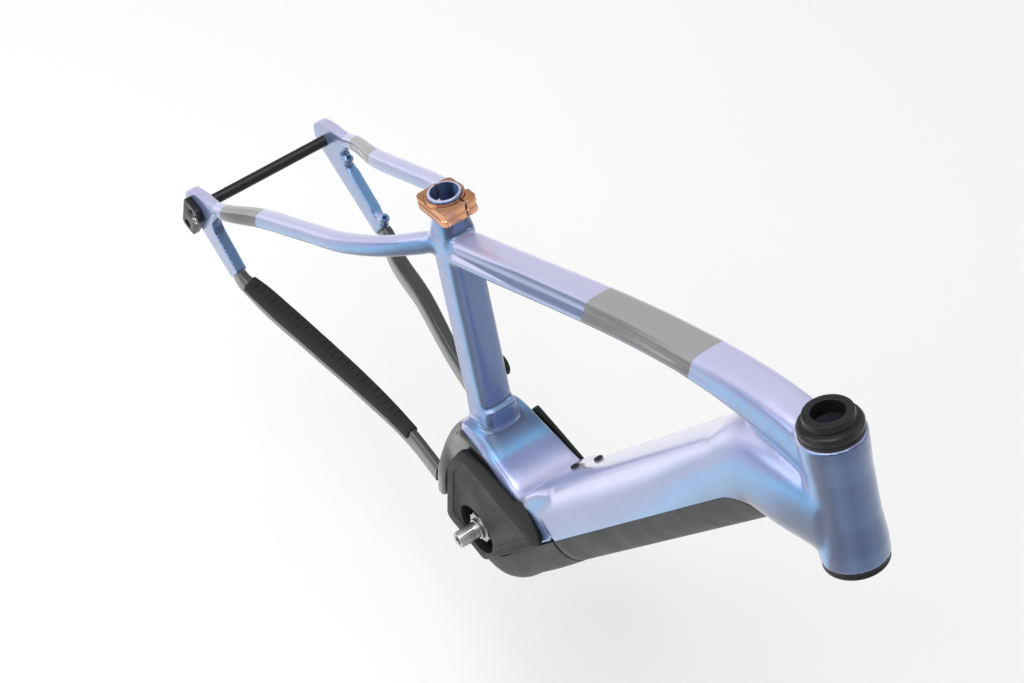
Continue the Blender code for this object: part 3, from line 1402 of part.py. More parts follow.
def charge_port():
    face = seat_at(CHARGE_LENGTH) + SIDE * (SEAT_TUBE_HALF + GAP)
    matrix = on_axis(face, SIDE)
    socket = [
        (CHARGE_FLANGE, CHARGE_FLANGE_HEIGHT),
        (CHARGE_FLANGE, 0.0),
        (CHARGE_BARREL, 0.0),
        (CHARGE_BARREL, -CHARGE_DEPTH),
        (0.0, -CHARGE_DEPTH),
        (0.0, -0.85 * CHARGE_DEPTH),
        (0.75 * CHARGE_BARREL, -0.85 * CHARGE_DEPTH),
        (0.75 * CHARGE_BARREL, CHARGE_FLANGE_HEIGHT),
    ]
    turned("charge_socket", socket, "black_alloy", matrix, 28)
    low = CHARGE_FLANGE_HEIGHT + GAP
    cap = [
        (0.0, low + CHARGE_CAP_HEIGHT),
        (0.86 * CHARGE_FLANGE, low + CHARGE_CAP_HEIGHT),
        (CHARGE_FLANGE, low + 0.5 * CHARGE_CAP_HEIGHT),
        (CHARGE_FLANGE, low),
        (0.0, low),
    ]
    turned("charge_cap", cap, "rubber", matrix, 28, ring=False)


def build():
    head = head_cutter()
    seat = seat_cutter()
    head_tube()
    upper_headset()
    lower_headset()
    seat_tube()
    seat_clamp()
    down_tube(head)
    top_tube(head, seat)
    bottle_bolts()
    motor_bracket()
    drive_unit()
    crank_spindle()
    side_covers()
    skid_plate()
    battery_cover()
    battery_pack()
    battery_socket()
    battery_lock()
    dropouts()
    thru_axle()
    seatstays(seat)
    chainstays()
    charge_port()


build()
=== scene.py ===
import json
import math

import bmesh
import bpy
import numpy as np
from mathutils import Matrix, Vector
from mathutils.bvhtree import BVHTree

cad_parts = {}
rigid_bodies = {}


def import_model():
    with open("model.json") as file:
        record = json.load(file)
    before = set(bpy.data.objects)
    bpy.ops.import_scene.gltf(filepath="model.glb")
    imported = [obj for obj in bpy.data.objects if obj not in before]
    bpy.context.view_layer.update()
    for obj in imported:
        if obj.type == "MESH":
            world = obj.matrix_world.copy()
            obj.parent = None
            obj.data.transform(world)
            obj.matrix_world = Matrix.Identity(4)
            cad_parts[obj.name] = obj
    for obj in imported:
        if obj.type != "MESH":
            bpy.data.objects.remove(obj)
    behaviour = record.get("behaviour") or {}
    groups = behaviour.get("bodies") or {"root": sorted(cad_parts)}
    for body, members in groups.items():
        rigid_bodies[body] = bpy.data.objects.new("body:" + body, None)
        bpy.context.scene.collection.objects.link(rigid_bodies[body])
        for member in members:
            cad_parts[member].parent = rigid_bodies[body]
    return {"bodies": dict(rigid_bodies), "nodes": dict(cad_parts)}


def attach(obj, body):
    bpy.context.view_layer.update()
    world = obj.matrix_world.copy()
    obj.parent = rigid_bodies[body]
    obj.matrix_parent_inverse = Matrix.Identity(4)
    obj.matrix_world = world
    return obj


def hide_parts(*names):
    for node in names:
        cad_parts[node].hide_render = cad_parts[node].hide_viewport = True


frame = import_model()
keep = set(frame["bodies"].values()) | set(frame["nodes"].values())
for leftOver in [o for o in bpy.data.objects if o not in keep]:
    bpy.data.objects.remove(leftOver, do_unlink=True)
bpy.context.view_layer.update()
scene = bpy.context.scene
scene.view_settings.view_transform = "Standard"
print("frame loaded:", len(frame["nodes"]), "nodes")

# the frame's lines in the side plane: metres and degrees, crank axis at the origin
lines = {
    "reach": 0.383, "stack": 0.6275, "headAngle": 66.0,
    "seatAngle": 72.0, "seatSetback": 0.0095,
    "downAngle": 60.0, "downOffset": 0.0255,
    "chainstayLength": 0.460, "crankDrop": 0.058,
    "gap": 0.0003, "runningGap": 0.0006,
}


def inPlane(degrees):
    return Vector((math.cos(math.radians(degrees)), 0, math.sin(math.radians(degrees))))


side = Vector((0, 1, 0))
headAxis = inPlane(180 - lines["headAngle"])
headTop = Vector((lines["reach"], 0, lines["stack"]))
seatAxis = inPlane(180 - lines["seatAngle"])
seatFront = inPlane(90 - lines["seatAngle"])
downAxis = inPlane(lines["downAngle"])
downNormal = inPlane(lines["downAngle"] - 90)
axle = Vector((-math.sqrt(lines["chainstayLength"] ** 2 - lines["crankDrop"] ** 2), 0, lines["crankDrop"]))
gap = lines["gap"]
runGap = lines["runningGap"]


def headAt(drop):
    return headTop - headAxis * drop


def seatAt(length):
    return Vector((-lines["seatSetback"], 0, 0)) + seatAxis * length


def downAt(along, below=0.0, left=0.0):
    return downAxis * along + downNormal * (lines["downOffset"] + below) + side * left


def flat(point):
    return Vector((point.x, point.z))


def onAxis(origin, axis):
    return Matrix.Translation(origin) @ axis.to_track_quat("Z", "Y").to_matrix().to_4x4()


# mesh helpers
def meshFrom(name, verts, faces, thinnest=0.0):
    work = bmesh.new()
    made = [work.verts.new(v) for v in verts]
    for face in faces:
        work.faces.new([made[i] for i in face])
    bmesh.ops.remove_doubles(work, verts=work.verts, dist=1e-6)
    if thinnest:
        bmesh.ops.dissolve_degenerate(work, dist=thinnest, edges=work.edges)
    bmesh.ops.recalc_face_normals(work, faces=work.faces)
    return meshOf(name, work)


def meshOf(name, work):
    mesh = bpy.data.meshes.new(name)
    work.to_mesh(mesh)
    work.free()
    return mesh


def objectOf(data):
    obj = bpy.data.objects.new(data.name, data)
    scene.collection.objects.link(obj)
    return obj


def settled(obj):
    # the object's modifiers turned into its plain mesh
    bpy.context.view_layer.update()
    graph = bpy.context.evaluated_depsgraph_get()
    mesh = bpy.data.meshes.new_from_object(obj.evaluated_get(graph))
    obj.modifiers.clear()
    old = obj.data
    obj.data = mesh
    mesh.name = obj.name
    bpy.data.meshes.remove(old)
    return obj


def boolean(obj, meshes, operation="DIFFERENCE", solver="EXACT"):
    helpers = []
    for i, mesh in enumerate(meshes):
        helper = objectOf(mesh)
        helpers.append(helper)
        modifier = obj.modifiers.new(f"cut{i}", "BOOLEAN")
        modifier.operation = operation
        modifier.solver = solver
        modifier.object = helper
    settled(obj)
    for helper in helpers:
        data = helper.data
        bpy.data.objects.remove(helper, do_unlink=True)
        bpy.data.meshes.remove(data)
    return obj


def cleaned(obj, distance=0.000003):
    # slivers left by a cut or a soft edge are closed up
    work = bmesh.new()
    work.from_mesh(obj.data)
    bmesh.ops.remove_doubles(work, verts=work.verts, dist=distance)
    bmesh.ops.dissolve_degenerate(work, edges=work.edges, dist=distance)
    work.to_mesh(obj.data)
    work.free()
    return obj


def softEdges(obj, width, segments=2, angle=50):
    cleaned(obj, 0.00002)
    modifier = obj.modifiers.new("edges", "BEVEL")
    modifier.width = width
    modifier.segments = segments
    modifier.limit_method = "ANGLE"
    modifier.angle_limit = math.radians(angle)
    modifier.harden_normals = False
    return settled(obj)


def smoothShade(obj, angle=32):
    obj.data.shade_smooth()
    obj.data.set_sharp_from_angle(angle=math.radians(angle))
    return obj


def slotOf(finish):
    return "".join("_" + c.lower() if c.isupper() else c for c in finish)


def dress(obj, finish, body, *nodes, angle=32):
    obj.data.materials.clear()
    obj.data.materials.append(materials[finish])
    smoothShade(cleaned(obj), angle)
    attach(obj, body)
    slotOf(finish)
    if nodes:
        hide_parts(*nodes)
    return obj


# lofts: rows of x y z, half width, half height, power and shelf
crease = {"low": -0.12, "height": 0.20, "flatter": 9.0, "ditch": 0.32, "spread": 0.8}


def row(point, halfWidth, halfHeight, power, shelf=0.0):
    return [*point, halfWidth, halfHeight, power, shelf]


def fillRows(rows, perSpan):
    table = np.array(rows, float)
    steps = np.linalg.norm(np.diff(table[:, :3], axis=0), axis=1)
    along = np.concatenate([[0.0], np.cumsum(steps)])
    slopes = np.gradient(table, along, axis=0)
    filled = []
    for i, length in enumerate(steps):
        for t in np.arange(perSpan) / perSpan:
            place = (1 + 2 * t) * (1 - t) ** 2 * table[i] + t * t * (3 - 2 * t) * table[i + 1]
            lean = t * (1 - t) ** 2 * slopes[i] - t * t * (1 - t) * slopes[i + 1]
            filled.append(place + length * lean)
    filled.append(table[-1])
    return np.array(filled)


def sectionPoints(values, angles, inset=0.0):
    halfWidth, halfHeight, power, shelf = values[3] - inset, values[4] - inset, values[5], values[6]
    cos, sin = np.cos(angles), np.sin(angles)
    power = np.where(sin > 0, power + crease["flatter"] * shelf, power)
    across = np.sign(cos) * np.abs(cos) ** (2 / power)
    upwards = np.sign(sin) * np.abs(sin) ** (2 / power)
    step = np.clip((upwards - crease["low"]) / crease["height"], 0, 1)
    ditch = np.exp(-(((upwards - crease["low"]) / crease["height"] - 0.9) / crease["spread"]) ** 2)
    narrowing = 1 - shelf * (step * step * (3 - 2 * step) + crease["ditch"] * ditch)
    return np.stack([halfWidth * across * narrowing, halfHeight * upwards], 1)


def ringsAlong(rows, sections):
    rows = np.array(rows)
    tangents = np.gradient(rows[:, :3], axis=0)
    rings = []
    for values, tangent, points in zip(rows, tangents, sections):
        forward = Vector(tangent).normalized()
        across = (side - forward * forward.y).normalized()
        up = forward.cross(across)
        centre = Vector(values[:3])
        rings.append([centre + across * p[0] + up * p[1] for p in points])
    return rings


def skin(name, rings):
    count = len(rings[0])
    verts = [point for ring in rings for point in ring]
    faces = []
    for r in range(len(rings) - 1):
        for i in range(count):
            j = (i + 1) % count
            faces.append((r * count + i, r * count + j, (r + 1) * count + j, (r + 1) * count + i))
    faces.append(tuple(range(count)))
    last = (len(rings) - 1) * count
    faces.append(tuple(range(last, last + count)))
    return meshFrom(name, verts, faces)


def loft(name, rows, count):
    angles = 2 * math.pi * (np.arange(count) + 0.5) / count
    return skin(name, ringsAlong(rows, [sectionPoints(r, angles) for r in rows]))


def trough(name, rows, edges, wall, grow=0.0, upper=False, count=40):
    # the part of a tube's wall that lies further than each edge from its axis
    sections = []
    for values, edge in zip(rows, edges):
        insets = (-grow - wall, -grow) if upper else (-grow, wall - grow)
        outline = []
        for inset in insets:
            lift = math.asin((edge / (values[4] - inset)) ** (values[5] / 2))
            start, end = (lift, math.pi - lift) if upper else (math.pi + lift, 2 * math.pi - lift)
            points = sectionPoints(values, np.linspace(start, end, count + 1), inset)
            outline = points if len(outline) == 0 else np.concatenate([outline, points[::-1]])
        sections.append(outline)
    return skin(name, ringsAlong(rows, sections))


def turned(name, profile, matrix, steps=72, soft=0.0):
    # radius and height, outer side first from the top down, spun about the matrix's Z
    closed = profile[0][0] > 0 or profile[-1][0] > 0
    points = rounded(profile, soft, 3, closed) if soft else [Vector(p) for p in profile]
    verts, faces = [], []
    for k in range(steps):
        turn = 2 * math.pi * k / steps
        for p in points:
            verts.append(matrix @ Vector((p[0] * math.cos(turn), p[0] * math.sin(turn), p[1])))
    count = len(points)
    spans = count if closed else count - 1
    for k in range(steps):
        a, b = k * count, ((k + 1) % steps) * count
        for i in range(spans):
            j = (i + 1) % count
            faces.append((a + i, a + j, b + j, b + i))
    return meshFrom(name, verts, faces, 1e-7)


def roundCorner(corner, back, ahead, radius, steps):
    half = back.angle(ahead) / 2
    if half > math.radians(87):
        return [corner]
    reach = min(radius / math.tan(half), 0.42 * min(back.length, ahead.length))
    centre = corner + (back.normalized() + ahead.normalized()).normalized() * (reach / math.cos(half))
    first = corner + back.normalized() * reach - centre
    last = corner + ahead.normalized() * reach - centre
    turn = first.angle_signed(last)
    return [centre + Matrix.Rotation(-turn * k / steps, 2) @ first for k in range(steps + 1)]


def rounded(corners, radius, steps=8, closed=True):
    corners = [Vector(c) for c in corners]
    made = []
    for i, corner in enumerate(corners):
        back = corners[i - 1] - corner
        ahead = corners[(i + 1) % len(corners)] - corner
        end = not closed and i in (0, len(corners) - 1)
        made += [corner] if end else roundCorner(corner, back, ahead, radius, steps)
    return made


def plate(name, outline, low, high):
    # an outline in the side plane, from one distance to the left to another
    count = len(outline)
    verts = [Vector((p[0], y, p[1])) for y in sorted((low, high)) for p in outline]
    faces = [(i, (i + 1) % count, count + (i + 1) % count, count + i) for i in range(count)]
    faces += [tuple(range(count)), tuple(range(count, 2 * count))]
    return meshFrom(name, verts, faces)


def rod(name, origin, axis, radius, length, steps=48):
    half = length / 2
    profile = [(0.0, half), (radius, half), (radius, -half), (0.0, -half)]
    return turned(name, profile, onAxis(origin, axis), steps)


def block(name, size, matrix):
    work = bmesh.new()
    bmesh.ops.create_cube(work, size=1.0, matrix=matrix @ Matrix.Diagonal((*size, 1.0)))
    return meshOf(name, work)


# materials
def addNode(tree, kind, inputs):
    node = tree.nodes.new(kind)
    for name, value in inputs.items():
        if isinstance(value, bpy.types.NodeSocket):
            tree.links.new(value, node.inputs[name])
        else:
            node.inputs[name].default_value = value
    return node


def newMaterial(name, roughness, metallic=0.0, coat=0.0, coatRoughness=0.05, specular=0.5):
    material = bpy.data.materials.new(name)
    material.use_nodes = True
    shader = material.node_tree.nodes["Principled BSDF"]
    labels = ("Roughness", "Metallic", "Coat Weight", "Coat Roughness", "Specular IOR Level")
    for label, value in zip(labels, (roughness, metallic, coat, coatRoughness, specular)):
        shader.inputs[label].default_value = value
    return material, material.node_tree, shader


def mathNode(tree, operation, *values):
    node = addNode(tree, "ShaderNodeMath", dict(enumerate(values)))
    node.operation = operation
    return node.outputs[0]


def product(tree, first, *others):
    for other in others:
        first = mathNode(tree, "MULTIPLY", first, other)
    return first


def rangeNode(tree, value, fromLow, fromHigh, toLow=0.0, toHigh=1.0, smooth=False):
    node = addNode(tree, "ShaderNodeMapRange", {"Value": value, "From Min": fromLow, "From Max": fromHigh,
                                                "To Min": toLow, "To Max": toHigh})
    node.interpolation_type = "SMOOTHSTEP" if smooth else "LINEAR"
    return node.outputs["Result"]


def softRange(*values):
    return rangeNode(*values, smooth=True)


def noiseNode(tree, vector, scale, detail=3.0, rough=0.5):
    node = addNode(tree, "ShaderNodeTexNoise", {"Scale": scale, "Detail": detail, "Roughness": rough,
                                                "Vector": vector})
    return node.outputs["Fac"]


def mixColour(tree, factor, first, second):
    node = addNode(tree, "ShaderNodeMix", {"Factor": factor})
    node.data_type = "RGBA"
    for name, value in (("A", first), ("B", second)):
        socket = [s for s in node.inputs if s.name == name and s.type == "RGBA"][0]
        if isinstance(value, tuple):
            socket.default_value = (*value, 1.0)
        else:
            tree.links.new(value, socket)
    return [s for s in node.outputs if s.type == "RGBA"][0]


def bumpNode(tree, height, strength, distance):
    node = addNode(tree, "ShaderNodeBump", {"Strength": strength, "Distance": distance, "Height": height})
    return node.outputs[0]


def objectCoords(tree):
    return tree.nodes.new("ShaderNodeTexCoord").outputs["Object"]


# the palest lavender and the sky blue are painted highlights, the deep blue and the dark blue of the top
# tube's step are painted shade, and the light grey of the bands is painted light on their tops
paint = {
    "blue": (0.110, 0.180, 0.360), "deep": (0.055, 0.086, 0.180), "cyanHighlight": (0.160, 0.360, 0.660),
    "lavender": (0.235, 0.295, 0.530), "pale": (0.640, 0.640, 0.930), "slopeShade": (0.070, 0.115, 0.270),
    "bandDark": (0.030, 0.030, 0.033), "bandLitTop": (0.330, 0.330, 0.345),
    "litDirection": (-1.0, 0.10, 0.35), "roughness": 0.33, "metallic": 0.50, "coat": 1.0, "coatRoughness": 0.15,
    "tilt": -0.50, "slopeLine": (0.0144 + 0.112 * 0.0104, 0.0104), "slopeSpan": (-0.108, 0.0, 0.130, 0.250),
    "slopeWidth": (0.0026, 0.0027),
    "topBand": (0.0985, 0.2390, 0.335), "stayBand": (-0.4055, -0.3500, 0.100),
    "strip": (0.0325, 0.0833, 0.050, 0.118), "yoke": (-0.090, -0.053, 0.106),
    "sheet": (-0.022, 0.036, 0.060, 0.130, 0.55), "sheetFrontLit": (0.005, 0.055, 0.14, 0.26),
    "cheek": (0.20, 0.30, 0.22), "edge": 0.0004, "frontFacing": (0.80, 0.96), "cheekFacing": (0.3, 0.7),
    "turns": (("deep", -0.80, -0.50), ("cyanHighlight", -0.34, -0.04), ("lavender", -0.04, 0.14),
              ("pale", 0.22, 0.60)),
    "slopeFacing": (0.02, 0.20), "slopeInner": (-0.0005, 0.0008), "slopeOuter": (-0.0005, 0.0005),
    "flake": (1500.0, 2.0, 0.7), "flakeRange": (0.56, 0.74, 0.0, 0.14), "flakeColour": (0.74, 0.80, 0.98),
    "bandLitFacing": (0.22, 0.50), "bandShadeOnSlope": 0.25, "bandMetal": 0.20, "stripFront": 0.075,
    "cloud": (14.0, 2.0), "cloudTurn": 0.05, "marks": (55.0, 5.0, 0.65), "marksRange": (0.35, 0.70),
    "smoother": 0.05, "rougher": 0.07, "peel": (420.0, 2.0), "peelBump": (0.04, 0.0003),
}


def boxMask(tree, x, z, lowX, highX, level, above):
    # 1 between two places along the bicycle and above, or below, a level
    edge = paint["edge"]
    start = rangeNode(tree, x, lowX - edge, lowX + edge)
    end = rangeNode(tree, x, highX - edge, highX + edge, 1.0, 0.0)
    height = rangeNode(tree, z, level - edge, level + edge, 1.0 - above, above)
    return product(tree, start, end, height)


def facingShare(tree, normal, direction):
    # how far a face looks along a direction, the left side taken as the right
    total = product(tree, normal[0], direction[0])
    total = mathNode(tree, "MULTIPLY_ADD", normal[1], direction[1], total)
    return mathNode(tree, "MULTIPLY_ADD", normal[2], direction[2], total)


def framePaint():
    material, tree, shader = newMaterial(
        "pearlPaint", paint["roughness"], paint["metallic"], paint["coat"], paint["coatRoughness"])
    coords = objectCoords(tree)
    split = tree.nodes.new("ShaderNodeSeparateXYZ")
    tree.links.new(coords, split.inputs[0])
    x, z = split.outputs["X"], split.outputs["Z"]
    outside = mathNode(tree, "ABSOLUTE", split.outputs["Y"])
    # the paint's own blue-lavender tint plus painted light and shade: faces looking up and back are painted
    # pale as if lit, faces looking forward are painted deep blue as shade, with a painted sky-blue highlight
    # between them
    ways = tree.nodes.new("ShaderNodeSeparateXYZ")
    tree.links.new(tree.nodes.new("ShaderNodeNewGeometry").outputs["Normal"], ways.inputs[0])
    normal = (ways.outputs["X"], mathNode(tree, "ABSOLUTE", ways.outputs["Y"]), ways.outputs["Z"])
    drift = paint["cloudTurn"]
    cloud = rangeNode(tree, noiseNode(tree, coords, *paint["cloud"]), 0.0, 1.0, -drift, drift)
    turn = mathNode(tree, "ADD", facingShare(tree, normal, paint["litDirection"]), cloud)
    # painted shade makes the bracket's sheet bluer below the seat tube, and painted light makes its upward
    # faces paler at its front
    start, end, low, high, amount = paint["sheet"]
    sheet = product(tree, softRange(tree, x, start, end, amount, 0.0),
                    boxMask(tree, z, normal[2], low, high, 0.5, 1.0),
                    rangeNode(tree, x, 4 * start, 3 * start))
    start, end, level, amount = paint["sheetFrontLit"]
    front = product(tree, softRange(tree, x, start, end, 0.0, amount),
                    softRange(tree, normal[2], *paint["frontFacing"]),
                    rangeNode(tree, z, level, 1.25 * level, 1.0, 0.0))
    turn = mathNode(tree, "ADD", turn, front)
    # painted shade makes the sides bluer towards the head tube
    start, end, amount = paint["cheek"]
    cheek = product(tree, softRange(tree, x, start, end, 0.0, amount),
                    softRange(tree, normal[1], *paint["cheekFacing"]))
    turn = mathNode(tree, "SUBTRACT", turn, mathNode(tree, "ADD", sheet, cheek))
    pearlAndPaintedLight = paint["blue"]
    for colour, low, high in paint["turns"]:
        pearlAndPaintedLight = mixColour(tree, softRange(tree, turn, low, high), pearlAndPaintedLight, paint[colour])
    # painted shade darkens the sloping face of the top tube's step, fading towards the head tube
    tilted = mathNode(tree, "MULTIPLY_ADD", x, paint["tilt"], z)
    first, growth = paint["slopeLine"]
    beside = mathNode(tree, "SUBTRACT", outside, mathNode(tree, "MULTIPLY_ADD", x, growth, first))
    start, full, fade, end = paint["slopeSpan"]
    inner, outer = paint["slopeWidth"]
    opening = rangeNode(tree, x, start, full)
    fromInner = mathNode(tree, "MULTIPLY_ADD", opening, inner, beside)
    toOuter = mathNode(tree, "MULTIPLY_ADD", opening, -outer, beside)
    slopeShade = product(tree, softRange(tree, fromInner, *paint["slopeInner"]),
                    softRange(tree, toOuter, *paint["slopeOuter"], 1.0, 0.0),
                    softRange(tree, normal[2], *paint["slopeFacing"]), rangeNode(tree, x, start, 0.8 * start),
                    boxMask(tree, x, tilted, start, end, paint["topBand"][2], 1.0),
                    softRange(tree, x, fade, end, 1.0, 0.0))
    pearlAndPaintedLight = mixColour(tree, slopeShade, pearlAndPaintedLight, paint["slopeShade"])
    sparkle = rangeNode(tree, noiseNode(tree, coords, *paint["flake"]), *paint["flakeRange"])
    pearlAndPaintedLight = mixColour(tree, sparkle, pearlAndPaintedLight, paint["flakeColour"])
    # the grey bands on top tube and seatstays, with painted light making them lighter on top and painted
    # shade darkening them on the step's sloping face
    upper = product(tree, softRange(tree, turn, *paint["bandLitFacing"]),
                    rangeNode(tree, slopeShade, 0.0, 1.0, 1.0, paint["bandShadeOnSlope"]))
    grey = mixColour(tree, upper, paint["bandDark"], paint["bandLitTop"])
    bands = mathNode(tree, "MAXIMUM", boxMask(tree, x, tilted, *paint["topBand"], 1.0),
                     boxMask(tree, x, z, *paint["stayBand"], 1.0))
    pearlAndPaintedLight = mixColour(tree, bands, pearlAndPaintedLight, grey)
    # the dark yoke and edges of the bracket
    halfWidth, slant, behind, top = paint["strip"]
    limit = mathNode(tree, "MULTIPLY_ADD", x, slant, halfWidth + slant * behind)
    beyond = mathNode(tree, "SUBTRACT", outside, limit)
    strip = product(tree, rangeNode(tree, beyond, -paint["edge"], paint["edge"]),
                    boxMask(tree, x, z, paint["yoke"][0], paint["stripFront"], top, 0.0))
    dark = mathNode(tree, "MAXIMUM", strip, boxMask(tree, x, z, *paint["yoke"], 0.0))
    # handling marks make the gloss uneven
    mask = mathNode(tree, "MAXIMUM", bands, dark)
    gloss = rangeNode(tree, noiseNode(tree, coords, *paint["marks"]), *paint["marksRange"],
                      paint["roughness"] - paint["smoother"], paint["roughness"] + paint["rougher"])
    peel = noiseNode(tree, coords, *paint["peel"])
    for label, value in (("Base Color", mixColour(tree, dark, pearlAndPaintedLight, paint["bandDark"])),
                         ("Metallic", rangeNode(tree, mask, 0.0, 1.0, paint["metallic"], paint["bandMetal"])),
                         ("Roughness", gloss), ("Normal", bumpNode(tree, peel, *paint["peelBump"]))):
        tree.links.new(value, shader.inputs[label])
    return material


speckle = {"fine": (3.0, 0.6), "wide": (26.0, 4.0, 0.6), "pale": (0.30, 0.75, 0.35, 1.0), "bump": 0.25,
           "edge": (0.53, 0.62, 0.0, 0.55), "gloss": (0.3, 0.7), "smoother": 0.06, "rougher": 0.08}


def speckled(name, colour, light, roughness, metallic, grain, bumpDepth, specular=0.5, coat=0.0,
             stretch=None):
    # a plain finish with its own grain, faint wear and uneven gloss
    s = speckle
    material, tree, shader = newMaterial(name, roughness, metallic, coat, specular=specular)
    coords = objectCoords(tree)
    grainCoords = coords
    if stretch:
        grainCoords = addNode(tree, "ShaderNodeMapping", {"Scale": stretch, "Vector": coords}).outputs[0]
    fine = noiseNode(tree, grainCoords, grain, *s["fine"])
    wide = noiseNode(tree, coords, *s["wide"])
    pale = product(tree, fine, rangeNode(tree, wide, *s["pale"]))
    corners = tree.nodes.new("ShaderNodeNewGeometry").outputs["Pointiness"]
    factor = mathNode(tree, "MAXIMUM", pale, rangeNode(tree, corners, *s["edge"]))
    gloss = rangeNode(tree, wide, *s["gloss"], roughness - s["smoother"], roughness + s["rougher"])
    for label, value in (("Base Color", mixColour(tree, factor, colour, light)), ("Roughness", gloss),
                         ("Normal", bumpNode(tree, fine, s["bump"], bumpDepth))):
        tree.links.new(value, shader.inputs[label])
    return material


finishes = {
    "stayPaint": ((0.030, 0.030, 0.033), (0.060, 0.060, 0.064), 0.30, 0.10, 500.0, 0.00002, 0.5, 0.8),
    "coverPlastic": ((0.018, 0.0185, 0.020), (0.038, 0.039, 0.041), 0.46, 0.0, 900.0, 0.00012, 0.32),
    "motorPlastic": ((0.009, 0.009, 0.010), (0.024, 0.024, 0.026), 0.50, 0.0, 800.0, 0.00014, 0.28),
    "motorCasting": ((0.130, 0.130, 0.136), (0.210, 0.210, 0.216), 0.44, 0.75, 600.0, 0.00010),
    "clampCopper": ((0.660, 0.300, 0.150), (0.950, 0.560, 0.340), 0.17, 1.0, 900.0, 0.00003, 0.5, 0.0,
                    (0.2, 1.0, 3.0)),
    "steel": ((0.400, 0.400, 0.410), (0.620, 0.620, 0.630), 0.27, 1.0, 900.0, 0.00003, 0.5, 0.0,
              (1.0, 0.15, 1.0)),
    "blackAlloy": ((0.016, 0.016, 0.018), (0.042, 0.042, 0.045), 0.32, 0.55, 700.0, 0.00004),
    "bareAlloy": ((0.480, 0.480, 0.490), (0.680, 0.680, 0.690), 0.33, 1.0, 800.0, 0.00004),
    "rubber": ((0.012, 0.012, 0.012), (0.030, 0.030, 0.030), 0.70, 0.0, 500.0, 0.00020, 0.30),
}
materials = {name: speckled(name, *values) for name, values in finishes.items()}
materials["framePaint"] = framePaint()
print("materials:", len(materials))

# head tube, seat tube, top tube and down tube
headTube = {"length": 0.122, "topRadius": 0.0282, "waistRadius": 0.0270, "lowRadius": 0.0288,
            "upperBore": 0.0220, "lowerBore": 0.0258, "steererBore": 0.0200, "cupDepth": 0.0140}


def headSolid():
    s = headTube
    shares = [(0.0, "topRadius"), (-0.10, "topRadius"), (-0.28, "waistRadius"), (-0.66, "waistRadius"),
              (-0.88, "lowRadius"), (-1.0, "lowRadius")]
    profile = [(s[name], share * s["length"]) for share, name in shares]
    profile = [(0.0, 0.0), *profile, (0.0, -s["length"])]
    return turned("headSolid", profile, onAxis(headTop, headAxis), 96)


def headBore():
    s, over = headTube, 0.01
    profile = [(0.0, over), (s["upperBore"], over), (s["upperBore"], -s["cupDepth"]),
               (s["steererBore"], -s["cupDepth"]), (s["steererBore"], s["cupDepth"] - s["length"]),
               (s["lowerBore"], s["cupDepth"] - s["length"]), (s["lowerBore"], -s["length"] - over),
               (0.0, -s["length"] - over)]
    return turned("headBore", profile, onAxis(headTop, headAxis), 96)


seatTube = {"base": 0.130, "top": 0.394, "half": 0.0185, "topRadius": 0.0165, "bore": 0.0137,
            "slotWidth": 0.0025, "slotLength": 0.030, "stubExtra": 0.0012}
clamp = {"half": 0.0200, "height": 0.0170, "front": 0.0255, "rear": 0.0225, "slot": 0.0022,
         "slotLeft": 0.0060, "groove": 0.0011, "corner": 0.0060, "boltRadius": 0.0018, "boltHead": 0.0032,
         "boltSpread": 0.0044, "boltReach": 0.0210, "boltLength": 0.024, "collarRadius": 0.0192,
         "ledgeBack": 0.0100, "ledgeDrop": 0.0034, "soft": 0.0007, "grooveFloor": 0.0010,
         "grooveEdge": 0.0018, "ditchIn": 0.0002, "ditchOut": 0.0014, "ditchDepth": 0.0016, "over": 0.01,
         "edge": 0.0003}


def seatSolid():
    s = seatTube
    roundFrom = s["top"] - 1.6 * clamp["height"]
    squareTo = roundFrom - clamp["height"]
    levels = [(s["base"] - 0.012, s["half"], 4.0), (s["base"], s["half"], 4.0),
              (0.5 * (s["base"] + squareTo), s["half"], 4.0), (squareTo, s["half"], 4.0),
              (roundFrom, s["topRadius"], 2.0), (s["top"], s["topRadius"], 2.0)]
    rows = [row(seatAt(level), half, half, power) for level, half, power in levels]
    return loft("seatSolid", rows, 72)


topTube = {"seatLength": 0.3320, "headDrop": 0.0315, "seatAngle": 33.7, "headAngle": 4.2,
           "seatPull": 0.2316, "headPull": 0.1485, "seatWidth": 0.0185, "headWidth": 0.0220,
           "seatHeight": 0.0145, "headHeight": 0.0245, "flare": 0.62, "shelf": 0.22, "power": 3.2}


def topTubeRows(count=48):
    s = topTube
    start, end = seatAt(s["seatLength"]), headAt(s["headDrop"])
    pull = start + inPlane(s["seatAngle"]) * s["seatPull"]
    push = end - inPlane(s["headAngle"]) * s["headPull"]
    rows = []
    for share in np.linspace(0, 1, count):
        rest = 1 - share
        place = rest**3 * start + 3 * share * rest**2 * pull + 3 * share**2 * rest * push + share**3 * end
        flare = max(0.0, (share - s["flare"]) / (1 - s["flare"]))
        halfWidth = s["seatWidth"] + (s["headWidth"] - s["seatWidth"]) * share**2
        halfHeight = s["seatHeight"] + (s["headHeight"] - s["seatHeight"]) * flare
        shelf = s["shelf"] * max(0.0, 1 - share**2 / s["flare"])
        rows.append(row(place, halfWidth, halfHeight, s["power"], shelf))
    return rows


downTube = {"halfWidth": 0.0400, "halfDepth": 0.0430, "power": 2.8, "wall": 0.0030, "start": 0.155,
            "headWidth": 0.0300, "headDepth": 0.0400, "headRise": 0.0390, "split": 0.0098}
battery = {"start": 0.1600, "length": 0.406, "coverStart": 0.1580, "nose": 0.046, "noseLip": 0.0345,
           "noseRound": 0.88, "coverWall": 0.0025, "overhang": 0.0060}
batteryEnd = battery["start"] + battery["length"]
coverEnd = batteryEnd + battery["overhang"]
legEdge = downTube["split"] + gap


def downRow(along, inset=0.0):
    s = downTube
    return row(downAt(along), s["halfWidth"] - inset, s["halfDepth"] - inset, s["power"])


def downMatrix(along, below, left=0.0):
    axes = Matrix((downAxis, side, -downNormal)).transposed().to_4x4()
    return Matrix.Translation(downAt(along, below, left)) @ axes


